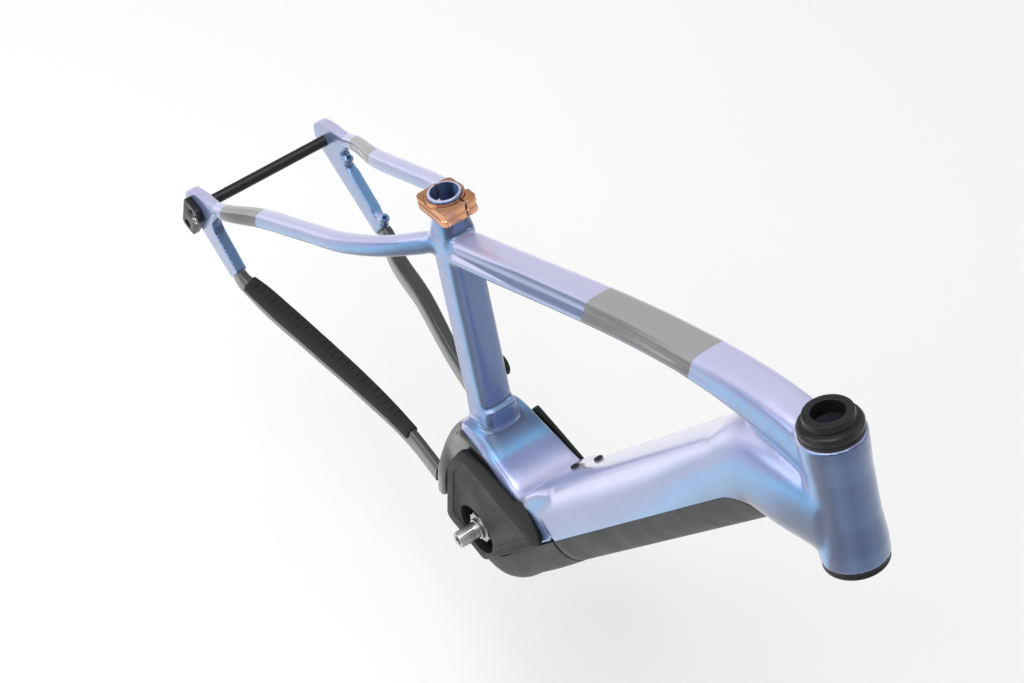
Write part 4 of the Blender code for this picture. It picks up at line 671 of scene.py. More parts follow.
def downTubeRows(inset=0.0, start=None):
    s = downTube
    first = s["start"] if start is None else start
    nose = coverEnd + battery["nose"]
    end = headAt(headTube["length"] - s["headRise"])
    bend = downAt(nose).lerp(end, 0.45) + downAxis * 0.14 * battery["nose"]
    rows = [downRow(first, inset), downRow(0.5 * (first + coverEnd), inset), downRow(coverEnd, inset),
            downRow(nose, inset),
            row(bend, 0.94 * s["halfWidth"] - inset, s["halfDepth"] - inset, s["power"]),
            row(end, s["headWidth"] - inset, s["headDepth"] - inset, s["power"])]
    return fillRows(rows, 12)


def noseLine(steps=24):
    # places along the tube and below its axis where the bay's edge closes round the nose
    s = battery
    places = []
    for turn in np.linspace(0, 0.5 * math.pi, steps):
        share, swell = math.sin(turn), 1 - math.cos(turn)
        drop = s["noseRound"] * swell + (1 - s["noseRound"]) * share
        below = downTube["split"] + (s["noseLip"] - downTube["split"]) * drop
        places.append((coverEnd + s["nose"] * share, below))
    return places


def bayCutters():
    s = downTube
    inner = downTubeRows(s["wall"], s["start"] + gap)
    below, reach = 2 * s["halfDepth"], 2 * s["halfWidth"]
    first = s["start"] + gap
    edge = [(first, s["split"])] + [(along + gap, drop) for along, drop in noseLine()]
    edge += [(edge[-1][0], below), (first, below)]
    opening = [flat(downAt(along, drop)) for along, drop in edge]
    return [loft("bayInside", inner[:-14], 72), plate("bayOpening", opening, -reach, reach)]


# the bracket that carries the drive unit
bracket = {"thick": 0.0080, "waist": 0.0315, "yokeBack": 0.0660, "yokeWidth": 0.0475, "yokeTop": 0.0240,
           "yokeBottom": -0.0220, "cheekInner": 0.0345, "cheekOuter": 0.0388, "cheekCorner": 0.0080,
           "valley": 0.0405, "plinthRise": 0.010, "plinthFront": 0.0050, "shoulder": (0.0260, 0.0372),
           "gusset": ((0.82, 0.0300, 0.0345, 0.0062), (1.00, 0.0290, 0.0335, 0.0062),
                      (1.23, 0.0240, 0.0300, 0.0045))}


def bracketSolids():
    s = bracket
    thick = s["thick"]
    start = downTube["start"]
    end = downAt(start - gap, thick - downTube["halfDepth"])
    ledge = seatAt(seatTube["base"]).z - 2.4 * thick
    rows = [row(Vector((-s["yokeBack"], 0, s["yokeBottom"])), s["yokeWidth"], thick, 5.0),
            row(Vector((-s["yokeBack"], 0, s["yokeTop"])), s["yokeWidth"], thick, 5.0),
            row(Vector((-s["yokeBack"], 0, 0.5 * (s["yokeTop"] + ledge))), 1.2 * s["waist"], thick, 5.0),
            row(Vector((seatAt(seatTube["base"]).x, 0, ledge)), s["waist"], thick, 5.0),
            row(Vector((0.2 * end.x, 0, ledge + 0.06 * end.x)), 1.14 * s["waist"], thick, 5.0),
            row(end - downAxis * 0.20 * start, 0.5 * (s["valley"] + 1.14 * s["waist"]), thick, 5.0),
            row(end - downAxis * 0.05 * start, s["valley"], thick, 4.5),
            row(end + downAxis * 0.10 * start, s["valley"] - 0.0015, thick, 4.0),
            row(end + downAxis * 0.26 * start + downNormal * 0.6 * thick,
                downTube["halfWidth"] - 0.004, thick, 4.0)]
    sheet = loft("bracketSheet", fillRows(rows, 8), 72)
    half = seatTube["half"] + seatTube["stubExtra"]
    deep = half + 0.5 * s["plinthFront"]
    shift = seatFront * 0.5 * s["plinthFront"]
    levels = (seatTube["base"] - 3.2 * thick, seatTube["base"], seatTube["base"] + s["plinthRise"])
    stub = loft("bracketStub", [row(seatAt(level) + shift, half, deep, 4.0) for level in levels], 72)
    back = -s["yokeBack"]
    ridge = [(back, s["yokeTop"]), (back, 0.5 * (s["yokeTop"] + ledge)), (0.80 * back, ledge - 0.4 * thick),
             (0.50 * back, ledge + 0.2 * thick), (0.0, ledge + 0.6 * thick), (0.02, ledge + 0.4 * thick),
             (0.02, ledge - 2 * thick), (0.5 * back, ledge - 2.5 * thick)]
    ridge = rounded(ridge, 0.5 * s["cheekCorner"])
    shoulders = [plate(f"shoulder{k}", ridge, *[k * y for y in s["shoulder"]]) for k in (1, -1)]
    foot, rear, front = 0.9 * s["yokeBottom"], -0.97 * s["yokeBack"], start - 3 * gap
    corners = [(rear, foot), (rear, 0.5 * (s["yokeTop"] + ledge)), (-0.5 * s["yokeBack"], ledge - thick),
               (0.0, ledge), flat(downAt(0.85 * start, 1.5 * thick - downTube["halfDepth"])),
               flat(downAt(front, 1.5 * thick - downTube["halfDepth"])),
               flat(downAt(front, downTube["split"])), flat(downAt(0.60 * start, downTube["split"])),
               (0.0, 2.3 * drive["bearingRadius"]), (-0.55 * s["yokeBack"], drive["bearingRadius"]),
               (-0.72 * s["yokeBack"], foot)]
    outline = rounded(corners, s["cheekCorner"])
    cheeks = [plate(f"cheek{k}", outline, k * s["cheekInner"], k * s["cheekOuter"]) for k in (1, -1)]
    gussets = []
    for k in (1, -1):
        rows = [row(downAt(along * start, -below, k * left), half, half, 2.0)
                for along, below, left, half in s["gusset"]]
        gussets.append(loft(f"gusset{k}", fillRows(rows, 8), 32))
    return [sheet, stub, *shoulders, *cheeks, *gussets]


drive = {"halfWidth": 0.0330, "coverDepth": 0.0110, "coverWall": 0.0024, "coverCorner": 0.0100,
         "coverEdge": 0.0040, "reveal": 0.0015, "spindleRadius": 0.0110, "spindleHalf": 0.0725,
         "bearingRadius": 0.0185, "hubRadius": 0.0190, "hubWidth": 0.0130,
         "skidTurn": 0.025, "skidBend": 0.014, "skidLength": 0.045, "skidGap": 0.0045, "vents": 4,
         "ventPitch": 0.008, "ventWidth": 0.0032, "ventLength": 0.034, "panelShare": 0.80,
         "panelDepth": 0.0007, "ventStart": 0.008, "edge": 0.0004, "boreRadius": 0.0042, "boreDepth": 0.010,
         "boreEdge": 0.0006, "spline": (0.0014, 0.0011), "splineEnd": 0.0015, "lug": (0.0028, 0.0036),
         "splines": 20, "lugs": 8, "collar": 0.0022, "tongueWall": 0.0010,
         "tongue": ((-0.006, 0.0012), (-0.001, 0.0012), (0.001, 0.0033), (0.0060, 0.0033)),
         "tongueRoom": (0.0035, 0.0290),
         "slantTop": 0.0030, "slantHeight": 0.022, "slantLevel": 0.1120}

# rear end
rearEnd = {"spacing": 0.148, "thickness": 0.0120, "radius": 0.0215, "seatArm": 0.045, "seatArmHalf": 0.0090,
           "seatArmRise": 0.0060, "chainArmHalf": 0.0130, "rightArm": (0.080, -30.0),
           "leftArm": (0.114, -26.0), "armFillet": 0.016,
           "stayRise": 0.008, "staySpread": 0.0630, "stayWidth": 0.0080, "stayHeight": 0.0100,
           "axleRadius": 0.0060, "axleBore": 0.0034, "axleHead": 0.0095, "axleHeadHeight": 0.0050,
           "postStart": 0.0315, "postSpacing": 0.0742, "postRadius": 0.0060, "postHeight": 0.0095,
           "postThread": 0.0026, "postDepth": 0.0090}


def seatArmBase():
    return axle + Vector((0, 0, rearEnd["seatArmRise"]))


def staysEnd():
    return seatAt(topTube["seatLength"] + rearEnd["stayRise"])


def seatArmDirection():
    return (staysEnd() - seatArmBase()).normalized()


def dropoutOutline(length, angle):
    s = rearEnd
    centre = flat(axle)
    seat, chain = flat(seatArmDirection()), flat(inPlane(angle))
    seatUp, chainUp = Vector((-seat.y, seat.x)), Vector((-chain.y, chain.x))
    first = math.atan2(-chainUp.y, -chainUp.x)
    last = math.atan2(seatUp.y, seatUp.x) - 2 * math.pi
    rear = [centre + s["radius"] * Vector((math.cos(a), math.sin(a))) for a in np.linspace(first, last, 20)]
    base = flat(seatArmBase())
    inner = centre + (seat + chain).normalized() * 1.25 * s["radius"]
    lower = base + seat * s["seatArm"] - seatUp * s["seatArmHalf"]
    upper = centre + chain * length + chainUp * s["chainArmHalf"]
    corners = [base + seat * s["seatArm"] + seatUp * s["seatArmHalf"], lower]
    corners += roundCorner(inner, lower - inner, upper - inner, s["armFillet"], 8)
    return corners + [upper, centre + chain * length - chainUp * s["chainArmHalf"]] + rear


def dropoutSolids(k, arm):
    s = rearEnd
    inside, outside = 0.5 * s["spacing"], 0.5 * s["spacing"] + s["thickness"]
    made = [plate(f"dropoutPlate{k}", dropoutOutline(*arm), k * inside, k * outside)]
    if k > 0:
        length = s["chainArmHalf"] + s["postHeight"]
        made += [rod("brakePost", face - up * 0.5 * length, up, s["postRadius"], length)
                 for face, up in brakePosts()]
    return made


def brakePosts():
    # the face of each post and the way it stands
    s = rearEnd
    chain = inPlane(s["leftArm"][1])
    up = Vector((-chain.z, 0, chain.x))
    foot = axle + side * 0.5 * (s["spacing"] + s["thickness"]) + up * (s["chainArmHalf"] + s["postHeight"])
    return [(foot + chain * (s["postStart"] + i * s["postSpacing"]), up) for i in range(2)]


def seatstayRows(k):
    s = rearEnd
    outside = 0.5 * (s["spacing"] + s["thickness"])
    start = seatArmBase() + seatArmDirection() * s["seatArm"]
    run = staysEnd() - start
    places = [(-0.035, outside, 0.70), (0.0, outside, 0.80), (0.04, outside, 0.84),
              (0.22, 0.35 * outside + 0.65 * s["staySpread"], 1.0), (0.48, s["staySpread"], 1.0),
              (0.70, 0.90 * s["staySpread"], 1.0), (0.84, 0.66 * s["staySpread"], 1.0),
              (0.93, 0.36 * s["staySpread"], 1.05), (0.99, 0.12 * s["staySpread"], 1.1)]
    rows = [row(start + run * share + side * k * spread, size * s["stayWidth"], size * s["stayHeight"], 2.8)
            for share, spread, size in places]
    return fillRows(rows, 8)


weld = {"voxel": 0.0013, "reach": 0.011, "rounds": 80, "polish": 3, "levels": 16, "faces": 170000}


def vertexPlaces(mesh):
    places = np.empty(len(mesh.vertices) * 3)
    mesh.vertices.foreach_get("co", places)
    return places.reshape(-1, 3)


def weldWeights(mesh, solids, reach):
    # 1 where two tubes meet, fading to 0 within the reach
    trees = []
    for solid in solids:
        points = vertexPlaces(solid)
        tree = BVHTree.FromPolygons([Vector(p) for p in points], [tuple(f.vertices) for f in solid.polygons])
        trees.append((tree, points.min(0) - reach, points.max(0) + reach))
    places = vertexPlaces(mesh)
    nearest = np.full((len(places), 2), reach)
    for tree, low, high in trees:
        inside = np.where(((places > low) & (places < high)).all(axis=1))[0]
        for i in inside:
            found = tree.find_nearest(Vector(places[i]), reach)
            if found[3] is not None:
                nearest[i] = sorted((*nearest[i], found[3]))[:2]
    share = np.clip(1 - nearest[:, 1] / reach, 0, 1)
    return share * share * (3 - 2 * share)


def fusedFrame():
    solids = [headSolid(), seatSolid(), loft("topSolid", topTubeRows(), 144),
              loft("downSolid", downTubeRows(), 80), *bracketSolids()]
    solids += dropoutSolids(1, rearEnd["leftArm"]) + dropoutSolids(-1, rearEnd["rightArm"])
    solids += [loft(f"staySolid{k}", seatstayRows(k), 48) for k in (1, -1)]
    work = bmesh.new()
    for solid in solids:
        work.from_mesh(solid)
    shell = objectOf(meshOf("painted_frame", work))
    remesh = shell.modifiers.new("fuse", "REMESH")
    remesh.mode = "VOXEL"
    remesh.voxel_size = weld["voxel"]
    settled(shell)
    weights = weldWeights(shell.data, solids, weld["reach"])
    group = shell.vertex_groups.new(name="weld")
    levels = weld["levels"]
    for level in range(1, levels + 1):
        chosen = np.where(np.round(weights * levels) == level)[0]
        group.add([int(i) for i in chosen], level / levels, "REPLACE")
    for name, chosen in (("rounds", "weld"), ("polish", "")):
        smooth = shell.modifiers.new(name, "SMOOTH")
        smooth.vertex_group = chosen
        smooth.factor = 0.5
        smooth.iterations = weld[name]
    thin = shell.modifiers.new("thin", "DECIMATE")
    thin.ratio = min(1.0, weld["faces"] / (2 * len(shell.data.polygons)))
    settled(shell)
    shell.vertex_groups.clear()
    for solid in solids:
        bpy.data.meshes.remove(solid)
    return shell


lock = {"gap": 0.0130, "length": 0.0260, "radius": 0.0070, "slot": (0.0014, 0.0072, 0.0036)}
charge = {"length": 0.168, "barrel": 0.0088, "flange": 0.0118, "flangeHeight": 0.0016, "depth": 0.0150,
          "cap": 0.0030}
lockMiddle = batteryEnd + lock["gap"] + 0.5 * lock["length"]


def frameCutters():
    s = rearEnd
    cutters = [headBore(), *bayCutters()]
    top = seatTube["top"]
    cutters.append(rod("seatBore", seatAt(0.5 * (seatTube["base"] + top) + 0.03), seatAxis, seatTube["bore"],
                       top - seatTube["base"] + 0.02, 72))
    axes = Matrix((seatFront, side, seatAxis)).transposed().to_4x4()
    middle = seatAt(top) - seatFront * seatTube["half"]
    cutters.append(block("seatSlot", (seatTube["half"], seatTube["slotWidth"], 2 * seatTube["slotLength"]),
                         Matrix.Translation(middle) @ axes))
    cutters.append(rod("axleHole", axle, side, s["axleRadius"] + gap, 2 * s["spacing"]))
    cutters.append(rod("chargeHole", seatAt(charge["length"]) + side * seatTube["half"], side,
                       charge["barrel"] + gap, seatTube["half"]))
    cutters.append(rod("keyHole", downAt(lockMiddle, 0, downTube["halfWidth"]), side, lock["radius"] + runGap,
                       2 * downTube["halfWidth"]))
    return cutters + [rod("postThread", face, up, s["postThread"], 2 * s["postDepth"], 32)
                      for face, up in brakePosts()]


shell = fusedFrame()
print("fused frame:", len(shell.data.polygons), "faces")
cutters = frameCutters()
boolean(shell, cutters, solver="MANIFOLD")
print("cut frame:", len(shell.data.polygons), "faces")
dress(shell, "framePaint", "frame", "head_tube", "seat_tube", "top_tube", "down_tube",
      "motor_bracket", "seatstay_left", "seatstay_right", "dropout_left", "dropout_right", angle=40)

# chainstays
chainstay = {"spread": 0.0640, "front": 0.0420, "width": 0.0085, "frontWidth": 0.0052, "height": 0.0135,
             "straight": 0.006, "turn": 0.018, "guardWall": 0.0016}


def chainstayRows(k, arm, perSpan=2):
    s, r = chainstay, rearEnd
    length, angle = arm
    direction = inPlane(angle)
    outside = 0.5 * (r["spacing"] + r["thickness"])
    start = axle + direction * (length + gap)
    level = 0.5 * (bracket["yokeTop"] + bracket["yokeBottom"])
    end = Vector((-bracket["yokeBack"] - bracket["thick"] - gap, 0, level))
    run = end - start
    turn = start + direction * s["turn"]
    places = [(start, outside, 0.46 * r["thickness"], 0.95 * r["chainArmHalf"]),
              (start + direction * s["straight"], outside, 0.5 * r["thickness"], 0.97 * r["chainArmHalf"]),
              (turn + run * 0.03, 0.7 * outside + 0.3 * s["spread"], 0.9 * s["width"], s["height"]),
              (start + run * 0.35, s["spread"], s["width"], s["height"]),
              (start + run * 0.62, 0.35 * s["spread"] + 0.65 * s["front"], 0.85 * s["width"], s["height"]),
              (start + run * 0.84, s["front"], s["frontWidth"], s["height"]),
              (end, s["front"], s["frontWidth"], s["height"])]
    rows = [row(place + side * k * spread, *sizes, 4.0) for place, spread, *sizes in places]
    return fillRows(rows, perSpan)


for k, word, arm in ((1, "left", rearEnd["leftArm"]), (-1, "right", rearEnd["rightArm"])):
    stay = objectOf(loft(f"chainstay_shell_{word}", chainstayRows(k, arm, 10), 56))
    dress(stay, "stayPaint", "frame", f"chainstay_{word}")
print("chainstays made")

# node trees for what repeats
def newTree(name, **sockets):
    tree = bpy.data.node_groups.new(name, "GeometryNodeTree")
    for label, kind in [("Geometry", "Geometry"), *sockets.items()]:
        tree.interface.new_socket(label, in_out="INPUT", socket_type="NodeSocket" + kind)
    tree.interface.new_socket("Geometry", in_out="OUTPUT", socket_type="NodeSocketGeometry")
    return tree, tree.nodes.new("NodeGroupInput"), tree.nodes.new("NodeGroupOutput")


def closeTree(tree, start, geometry, end):
    # copies made real, then given the piece's material
    real = addNode(tree, "GeometryNodeRealizeInstances", {0: geometry})
    painted = addNode(tree, "GeometryNodeSetMaterial", {"Geometry": real.outputs[0],
                                                        "Material": start.outputs["Material"]})
    tree.links.new(painted.outputs[0], end.inputs["Geometry"])
    return tree


def facingRotation(tree, primary, primaryAxis, secondary, secondaryAxis):
    axes = addNode(tree, "FunctionNodeAxesToRotation", {"Primary Axis": primary, "Secondary Axis": secondary})
    axes.primary_axis, axes.secondary_axis = primaryAxis, secondaryAxis
    return axes.outputs["Rotation"]


def copiesOn(tree, points, piece, rotation):
    info = addNode(tree, "GeometryNodeObjectInfo", {"Object": piece})
    place = addNode(tree, "GeometryNodeInstanceOnPoints", {"Points": points, "Rotation": rotation,
                                                           "Instance": info.outputs["Geometry"]})
    return place.outputs["Instances"]


def screwTree():
    # one screw on each point, its head the way of the point's heading
    tree, start, end = newTree("screwsOnPoints", Piece="Object", Material="Material")
    directions = []
    for name in ("heading", "across"):
        node = addNode(tree, "GeometryNodeInputNamedAttribute", {"Name": name})
        node.data_type = "FLOAT_VECTOR"
        directions.append(node.outputs["Attribute"])
    rotation = facingRotation(tree, directions[0], "Z", directions[1], "X")
    copies = copiesOn(tree, start.outputs["Geometry"], start.outputs["Piece"], rotation)
    return closeTree(tree, start, copies, end)


def pathTree():
    # copies at one spacing along a path, each lying the way the path runs
    tree, start, end = newTree("copiesAlongPath", Piece="Object", Spacing="Float", Upwards="Vector",
                               Material="Material")
    curve = addNode(tree, "GeometryNodeMeshToCurve", {"Mesh": start.outputs["Geometry"]})
    points = tree.nodes.new("GeometryNodeCurveToPoints")
    points.mode = "LENGTH"
    tree.links.new(curve.outputs[0], points.inputs["Curve"])
    tree.links.new(start.outputs["Spacing"], points.inputs["Length"])
    rotation = facingRotation(tree, points.outputs["Tangent"], "X", start.outputs["Upwards"], "Z")
    copies = copiesOn(tree, points.outputs["Points"], start.outputs["Piece"], rotation)
    return closeTree(tree, start, copies, end)


def toothTree():
    # teeth in a ring round the Z axis, added to the turned piece that comes in
    tree, start, end = newTree("teethInRing", Count="Int", Radius="Float", Level="Vector", Piece="Object",
                               Material="Material")
    circle = addNode(tree, "GeometryNodeMeshCircle", {"Vertices": start.outputs["Count"],
                                                      "Radius": start.outputs["Radius"]})
    place = tree.nodes.new("GeometryNodeInputPosition")
    rotation = facingRotation(tree, place.outputs[0], "X", (0.0, 0.0, 1.0), "Z")
    teeth = copiesOn(tree, circle.outputs["Mesh"], start.outputs["Piece"], rotation)
    lifted = addNode(tree, "GeometryNodeTransform", {"Geometry": teeth,
                                                     "Translation": start.outputs["Level"]})
    joined = addNode(tree, "GeometryNodeJoinGeometry", {0: lifted.outputs[0]})
    tree.links.new(start.outputs["Geometry"], joined.inputs[0])
    return closeTree(tree, start, joined.outputs[0], end)


trees = {"screws": screwTree(), "path": pathTree(), "teeth": toothTree()}


def grown(obj, tree, pieceMesh, **values):
    # the tree run once on the object and its result kept as plain mesh
    piece = objectOf(pieceMesh)
    values["Piece"] = piece
    modifier = obj.modifiers.new("copies", "NODES")
    modifier.node_group = tree
    for item in tree.interface.items_tree:
        if item.in_out == "INPUT" and item.name in values:
            modifier[item.identifier] = values[item.name]
    settled(obj)
    bpy.data.objects.remove(piece, do_unlink=True)
    bpy.data.meshes.remove(pieceMesh)
    return obj


def softBlock(name, size, soft, segments=2):
    return takeMesh(softEdges(objectOf(block(name, size, Matrix.Identity(4))), soft, segments))


def takeMesh(obj):
    mesh = obj.data
    bpy.data.objects.remove(obj, do_unlink=True)
    return mesh


def hexRod(name, across, low, high):
    radius = across / math.sqrt(3)
    corners = [(radius * math.cos(math.pi * k / 3), radius * math.sin(math.pi * k / 3)) for k in range(6)]
    verts = [Vector((*c, level)) for level in (low, high) for c in corners]
    faces = [(i, (i + 1) % 6, 6 + (i + 1) % 6, 6 + i) for i in range(6)]
    return meshFrom(name, verts, faces + [tuple(range(6)), tuple(range(6, 12))])


def socketScrew(head, height, shank, length, across, dome=0.0):
    # a socket-head screw along Z whose head rests at zero
    crown = [(head - dome, height), (head, height - 0.8 * dome)] if dome else [(head, height)]
    profile = [(0.0, height), *crown, (head, 0.0), (shank, 0.0), (shank, -length), (0.0, -length)]
    obj = objectOf(turned("screw", profile, Matrix.Identity(4), 40, 0.0004))
    boolean(obj, [hexRod("socket", across, 0.30 * height, 2 * height)])
    return takeMesh(obj)


def screws(name, places, mesh, finish, body, *nodes):
    points = bpy.data.meshes.new(name)
    points.from_pydata([p for p, _, _ in places], [], [])
    for label, column in (("heading", 1), ("across", 2)):
        attribute = points.attributes.new(label, "FLOAT_VECTOR", "POINT")
        attribute.data.foreach_set("vector", [v for entry in places for v in entry[column]])
    obj = objectOf(points)
    grown(obj, trees["screws"], mesh, Material=materials[finish])
    return dress(obj, finish, body, *nodes)


# headset
headset = {"flange": 0.0030, "wall": 0.0012, "lip": 0.0030, "bearingThickness": 0.0045,
           "raceWall": 0.0010, "coverHeight": 0.0160, "inset": 0.0012, "soft": 0.0005}


def cupProfile(bore, radius):
    s = headset
    seat = bore - gap - s["wall"]
    floor = gap - headTube["cupDepth"]
    return [(radius, gap + s["flange"]), (radius, gap), (bore - gap, gap), (bore - gap, floor),
            (seat - s["lip"], floor), (seat - s["lip"], floor + s["lip"]), (seat, floor + s["lip"]),
            (seat, gap + s["flange"])]


def makeHeadset():
    s, h = headset, headTube
    upper = onAxis(headTop, headAxis)
    lower = onAxis(headAt(h["length"]), -headAxis)
    brim, lowBrim = h["topRadius"] - s["inset"], h["lowRadius"] - s["inset"]
    for name, bore, radius, matrix in (("upper", h["upperBore"], brim, upper),
                                       ("lower", h["lowerBore"], lowBrim, lower)):
        mesh = turned(f"{name}_cup", cupProfile(bore, radius), matrix, 96, s["soft"])
        dress(objectOf(mesh), "blackAlloy", "frame", f"{name}_headset_cup")
    bearingBore = h["upperBore"] - 2 * gap - s["wall"] - s["bearingThickness"]
    bore = bearingBore - runGap - s["raceWall"]
    top = gap + s["flange"] + runGap
    ringTop = top + 0.15 * s["coverHeight"]
    collar = bearingBore + 3 * s["raceWall"]
    high, wall = s["coverHeight"], s["raceWall"]
    inner = bearingBore + wall + gap
    profile = [(collar + 2 * wall, top + high), (collar + 3 * wall, top + 0.62 * high),
               (collar + 2.4 * wall, top + 0.58 * high), (collar + 2.4 * wall, top + 0.52 * high),
               (brim - 2.2 * wall, top + 0.48 * high), (brim - wall, top + 0.41 * high),
               (brim, top + 0.28 * high), (brim, top), (inner, top), (inner, ringTop + gap),
               (bore, ringTop + gap), (bore, top + high)]
    cover = objectOf(turned("cover_cone", profile, upper, 96, s["soft"]))
    dress(cover, "blackAlloy", "headset_top", "headset_cover")
    lowBore = h["lowerBore"] - 2 * gap - s["wall"] - s["bearingThickness"]
    neck = lowBore - runGap
    base = 2 * gap - h["cupDepth"] + s["lip"]
    profile = [(lowBrim, top + s["flange"]), (lowBrim, top), (neck, top), (neck, base), (neck - wall, base),
               (neck - wall, top + s["flange"])]
    race = objectOf(turned("race_ring", profile, lower, 96, s["soft"]))
    dress(race, "blackAlloy", "fork_race", "crown_race")


makeHeadset()
print("headset made")


# seat clamp
def clampMatrix():
    level = seatTube["top"] - 0.5 * clamp["height"] - seatTube["slotWidth"]
    axes = Matrix((seatFront, side, seatAxis)).transposed().to_4x4()
    return Matrix.Translation(seatAt(level)) @ axes


def clampRing(inset, height, matrix):
    s = clamp
    rear, front, half = inset - s["rear"], s["front"] - inset, s["half"] - inset
    outline = rounded([(rear, -half), (front, -half), (front, half), (rear, half)], s["corner"] - inset)
    return [matrix @ Vector((*p, height)) for p in outline]


def makeClamp():
    s = clamp
    matrix = clampMatrix()
    high, soft = 0.5 * s["height"], s["soft"]
    half = [(soft, high), (0.3 * soft, high - 0.3 * soft), (0.0, high - soft), (0.0, s["grooveEdge"]),
            (s["groove"], s["grooveFloor"])]
    profile = [(i, -h) for i, h in half] + half[::-1]
    obj = objectOf(skin("clamp_block", [clampRing(i, h, matrix) for i, h in profile]))
    bore, collar = seatTube["topRadius"] + gap, s["collarRadius"]
    level = matrix.translation
    ledge, over, wide = high - s["ledgeDrop"], s["over"], 0.06
    length, shift = s["ledgeBack"] + s["rear"] + over, 0.5 * (s["ledgeBack"] - s["rear"] - over)
    stepPlace = matrix @ Matrix.Translation((shift, 0, ledge + over))
    step = objectOf(block("step", (length, wide, 2 * over), stepPlace))
    boolean(step, [rod("collar", level, seatAxis, collar, 0.1, 96)])
    inner, outer, floor = collar - s["ditchIn"], collar + s["ditchOut"], ledge - s["ditchDepth"]
    top = high + 0.2 * over
    ditch = turned("ditch", [(outer, top), (outer, floor), (inner, floor), (inner, top)], matrix, 96)
    slotPlace = matrix @ Matrix.Translation((s["front"], s["slotLeft"], 0))
    slot = block("slot", (s["front"], s["slot"], wide), slotPlace)
    cutters = [rod("bore", level, seatAxis, bore, wide, 96), slot, takeMesh(step), ditch]
    seat = s["half"] - 1.5 * s["boltHead"]
    places = []
    for spread in (s["boltSpread"], -s["boltSpread"]):
        middle = matrix @ Vector((s["boltReach"], seat, spread))
        cutters.append(rod("hole", middle, side, s["boltRadius"] + gap, wide, 28))
        cutters.append(rod("recess", middle + side * s["half"], side, s["boltHead"] + gap, 2 * s["half"], 40))
        places.append((middle + side * gap, side, seatAxis))
    boolean(obj, cutters)
    softEdges(obj, s["edge"])
    dress(obj, "clampCopper", "frame", "seat_clamp")
    screw = socketScrew(s["boltHead"], s["boltHead"], s["boltRadius"], s["boltLength"], 1.25 * s["boltHead"])
    screws("clamp_screws", places, screw, "steel", "frame", "clamp_bolt_upper", "clamp_bolt_lower")


makeClamp()
print("seat clamp made")

# drive unit: side covers, skid plate, spindle, hub and bolts
motorBolt = {"radius": 0.0039, "head": 0.0062, "height": 0.0040, "grip": 0.0120, "drop": 0.0100}


def skidTurn():
    return downAt(-drive["skidTurn"])


def sideCoverOutline():
    start, thick, depth = downTube["start"], bracket["thick"], downTube["halfDepth"]
    back, front = bracket["yokeBack"], 0.88 * start
    ledge = seatAt(seatTube["base"]).z - 1.9 * thick
    edge = downTube["split"] - drive["reveal"]
    low = skidTurn().z - downTube["split"] + drive["reveal"]
    toe = (low - downAt(0, edge).z) / downAxis.z
    corners = [(-0.80 * back, low), (-0.80 * back, 0.5 * ledge), (-0.52 * back, 0.92 * ledge), (0.0, ledge),
               flat(downAt(0.78 * start, 0.6 * thick - depth)), flat(downAt(front, 0.6 * thick - depth)),
               flat(downAt(front, edge)), flat(downAt(toe, edge))]
    return rounded(corners, drive["coverCorner"])


def coverSlant(k, inside, outside, inset=0.0):
    # what the slanted upper edge takes off a cover
    s = drive
    run = Vector((0, k * (outside - inside - s["slantTop"]), -s["slantHeight"])).normalized()
    out = Vector((0, -k * run.z, k * run.y))
    size = 0.1
    place = Vector((0, k * (inside + s["slantTop"]), s["slantLevel"])) + out * (0.5 * size - inset)
    axes = Matrix((Vector((k, 0, 0)), run, out)).transposed().to_4x4()
    return block("slant", (4 * size, 2 * size, size), Matrix.Translation(place) @ axes)


def makeSideCovers():
    s = drive
    outline = sideCoverOutline()
    middle = sum(outline, Vector((0, 0))) / len(outline)
    reach = min((p - middle).length for p in outline)
    inner = [middle + (p - middle) * (1 - 1.5 * s["coverWall"] / reach) for p in outline]
    panel = [middle + (p - middle) * s["panelShare"] for p in outline]
    inside = bracket["cheekOuter"] + gap
    outside = inside + s["coverDepth"]
    for k, word, opening in ((1, "left", 1.20), (-1, "right", 1.45)):
        obj = objectOf(plate(f"side_cover_{word}", outline, k * inside, k * outside))
        softEdges(obj, s["coverEdge"], 5)
        boolean(obj, [coverSlant(k, inside, outside)])
        hollow = objectOf(plate("hollow", inner, k * (outside - s["coverWall"]),
                                k * (inside - s["coverDepth"])))
        boolean(hollow, [coverSlant(k, inside, outside, s["coverWall"])])
        recess = plate("recess", panel, k * (outside - s["panelDepth"]), k * (outside + s["coverDepth"]))
        radius = opening * s["hubRadius"]
        hole = rod("hole", side * k * inside, side, radius, 4 * s["coverDepth"], 96)
        boolean(obj, [takeMesh(hollow), recess])
        near, far = s["halfWidth"] + gap, outside - 0.5 * s["coverWall"]
        outer, inward = radius + s["collar"], radius - gap
        profile = [(outer, far), (outer, near), (inward, near), (inward, far)]
        boolean(obj, [turned("collar", profile, onAxis(Vector(), side * k), 96)], "UNION")
        boolean(obj, [hole])
        softEdges(obj, s["edge"])
        dress(obj, "motorPlastic", "frame", f"motor_cover_{word}")


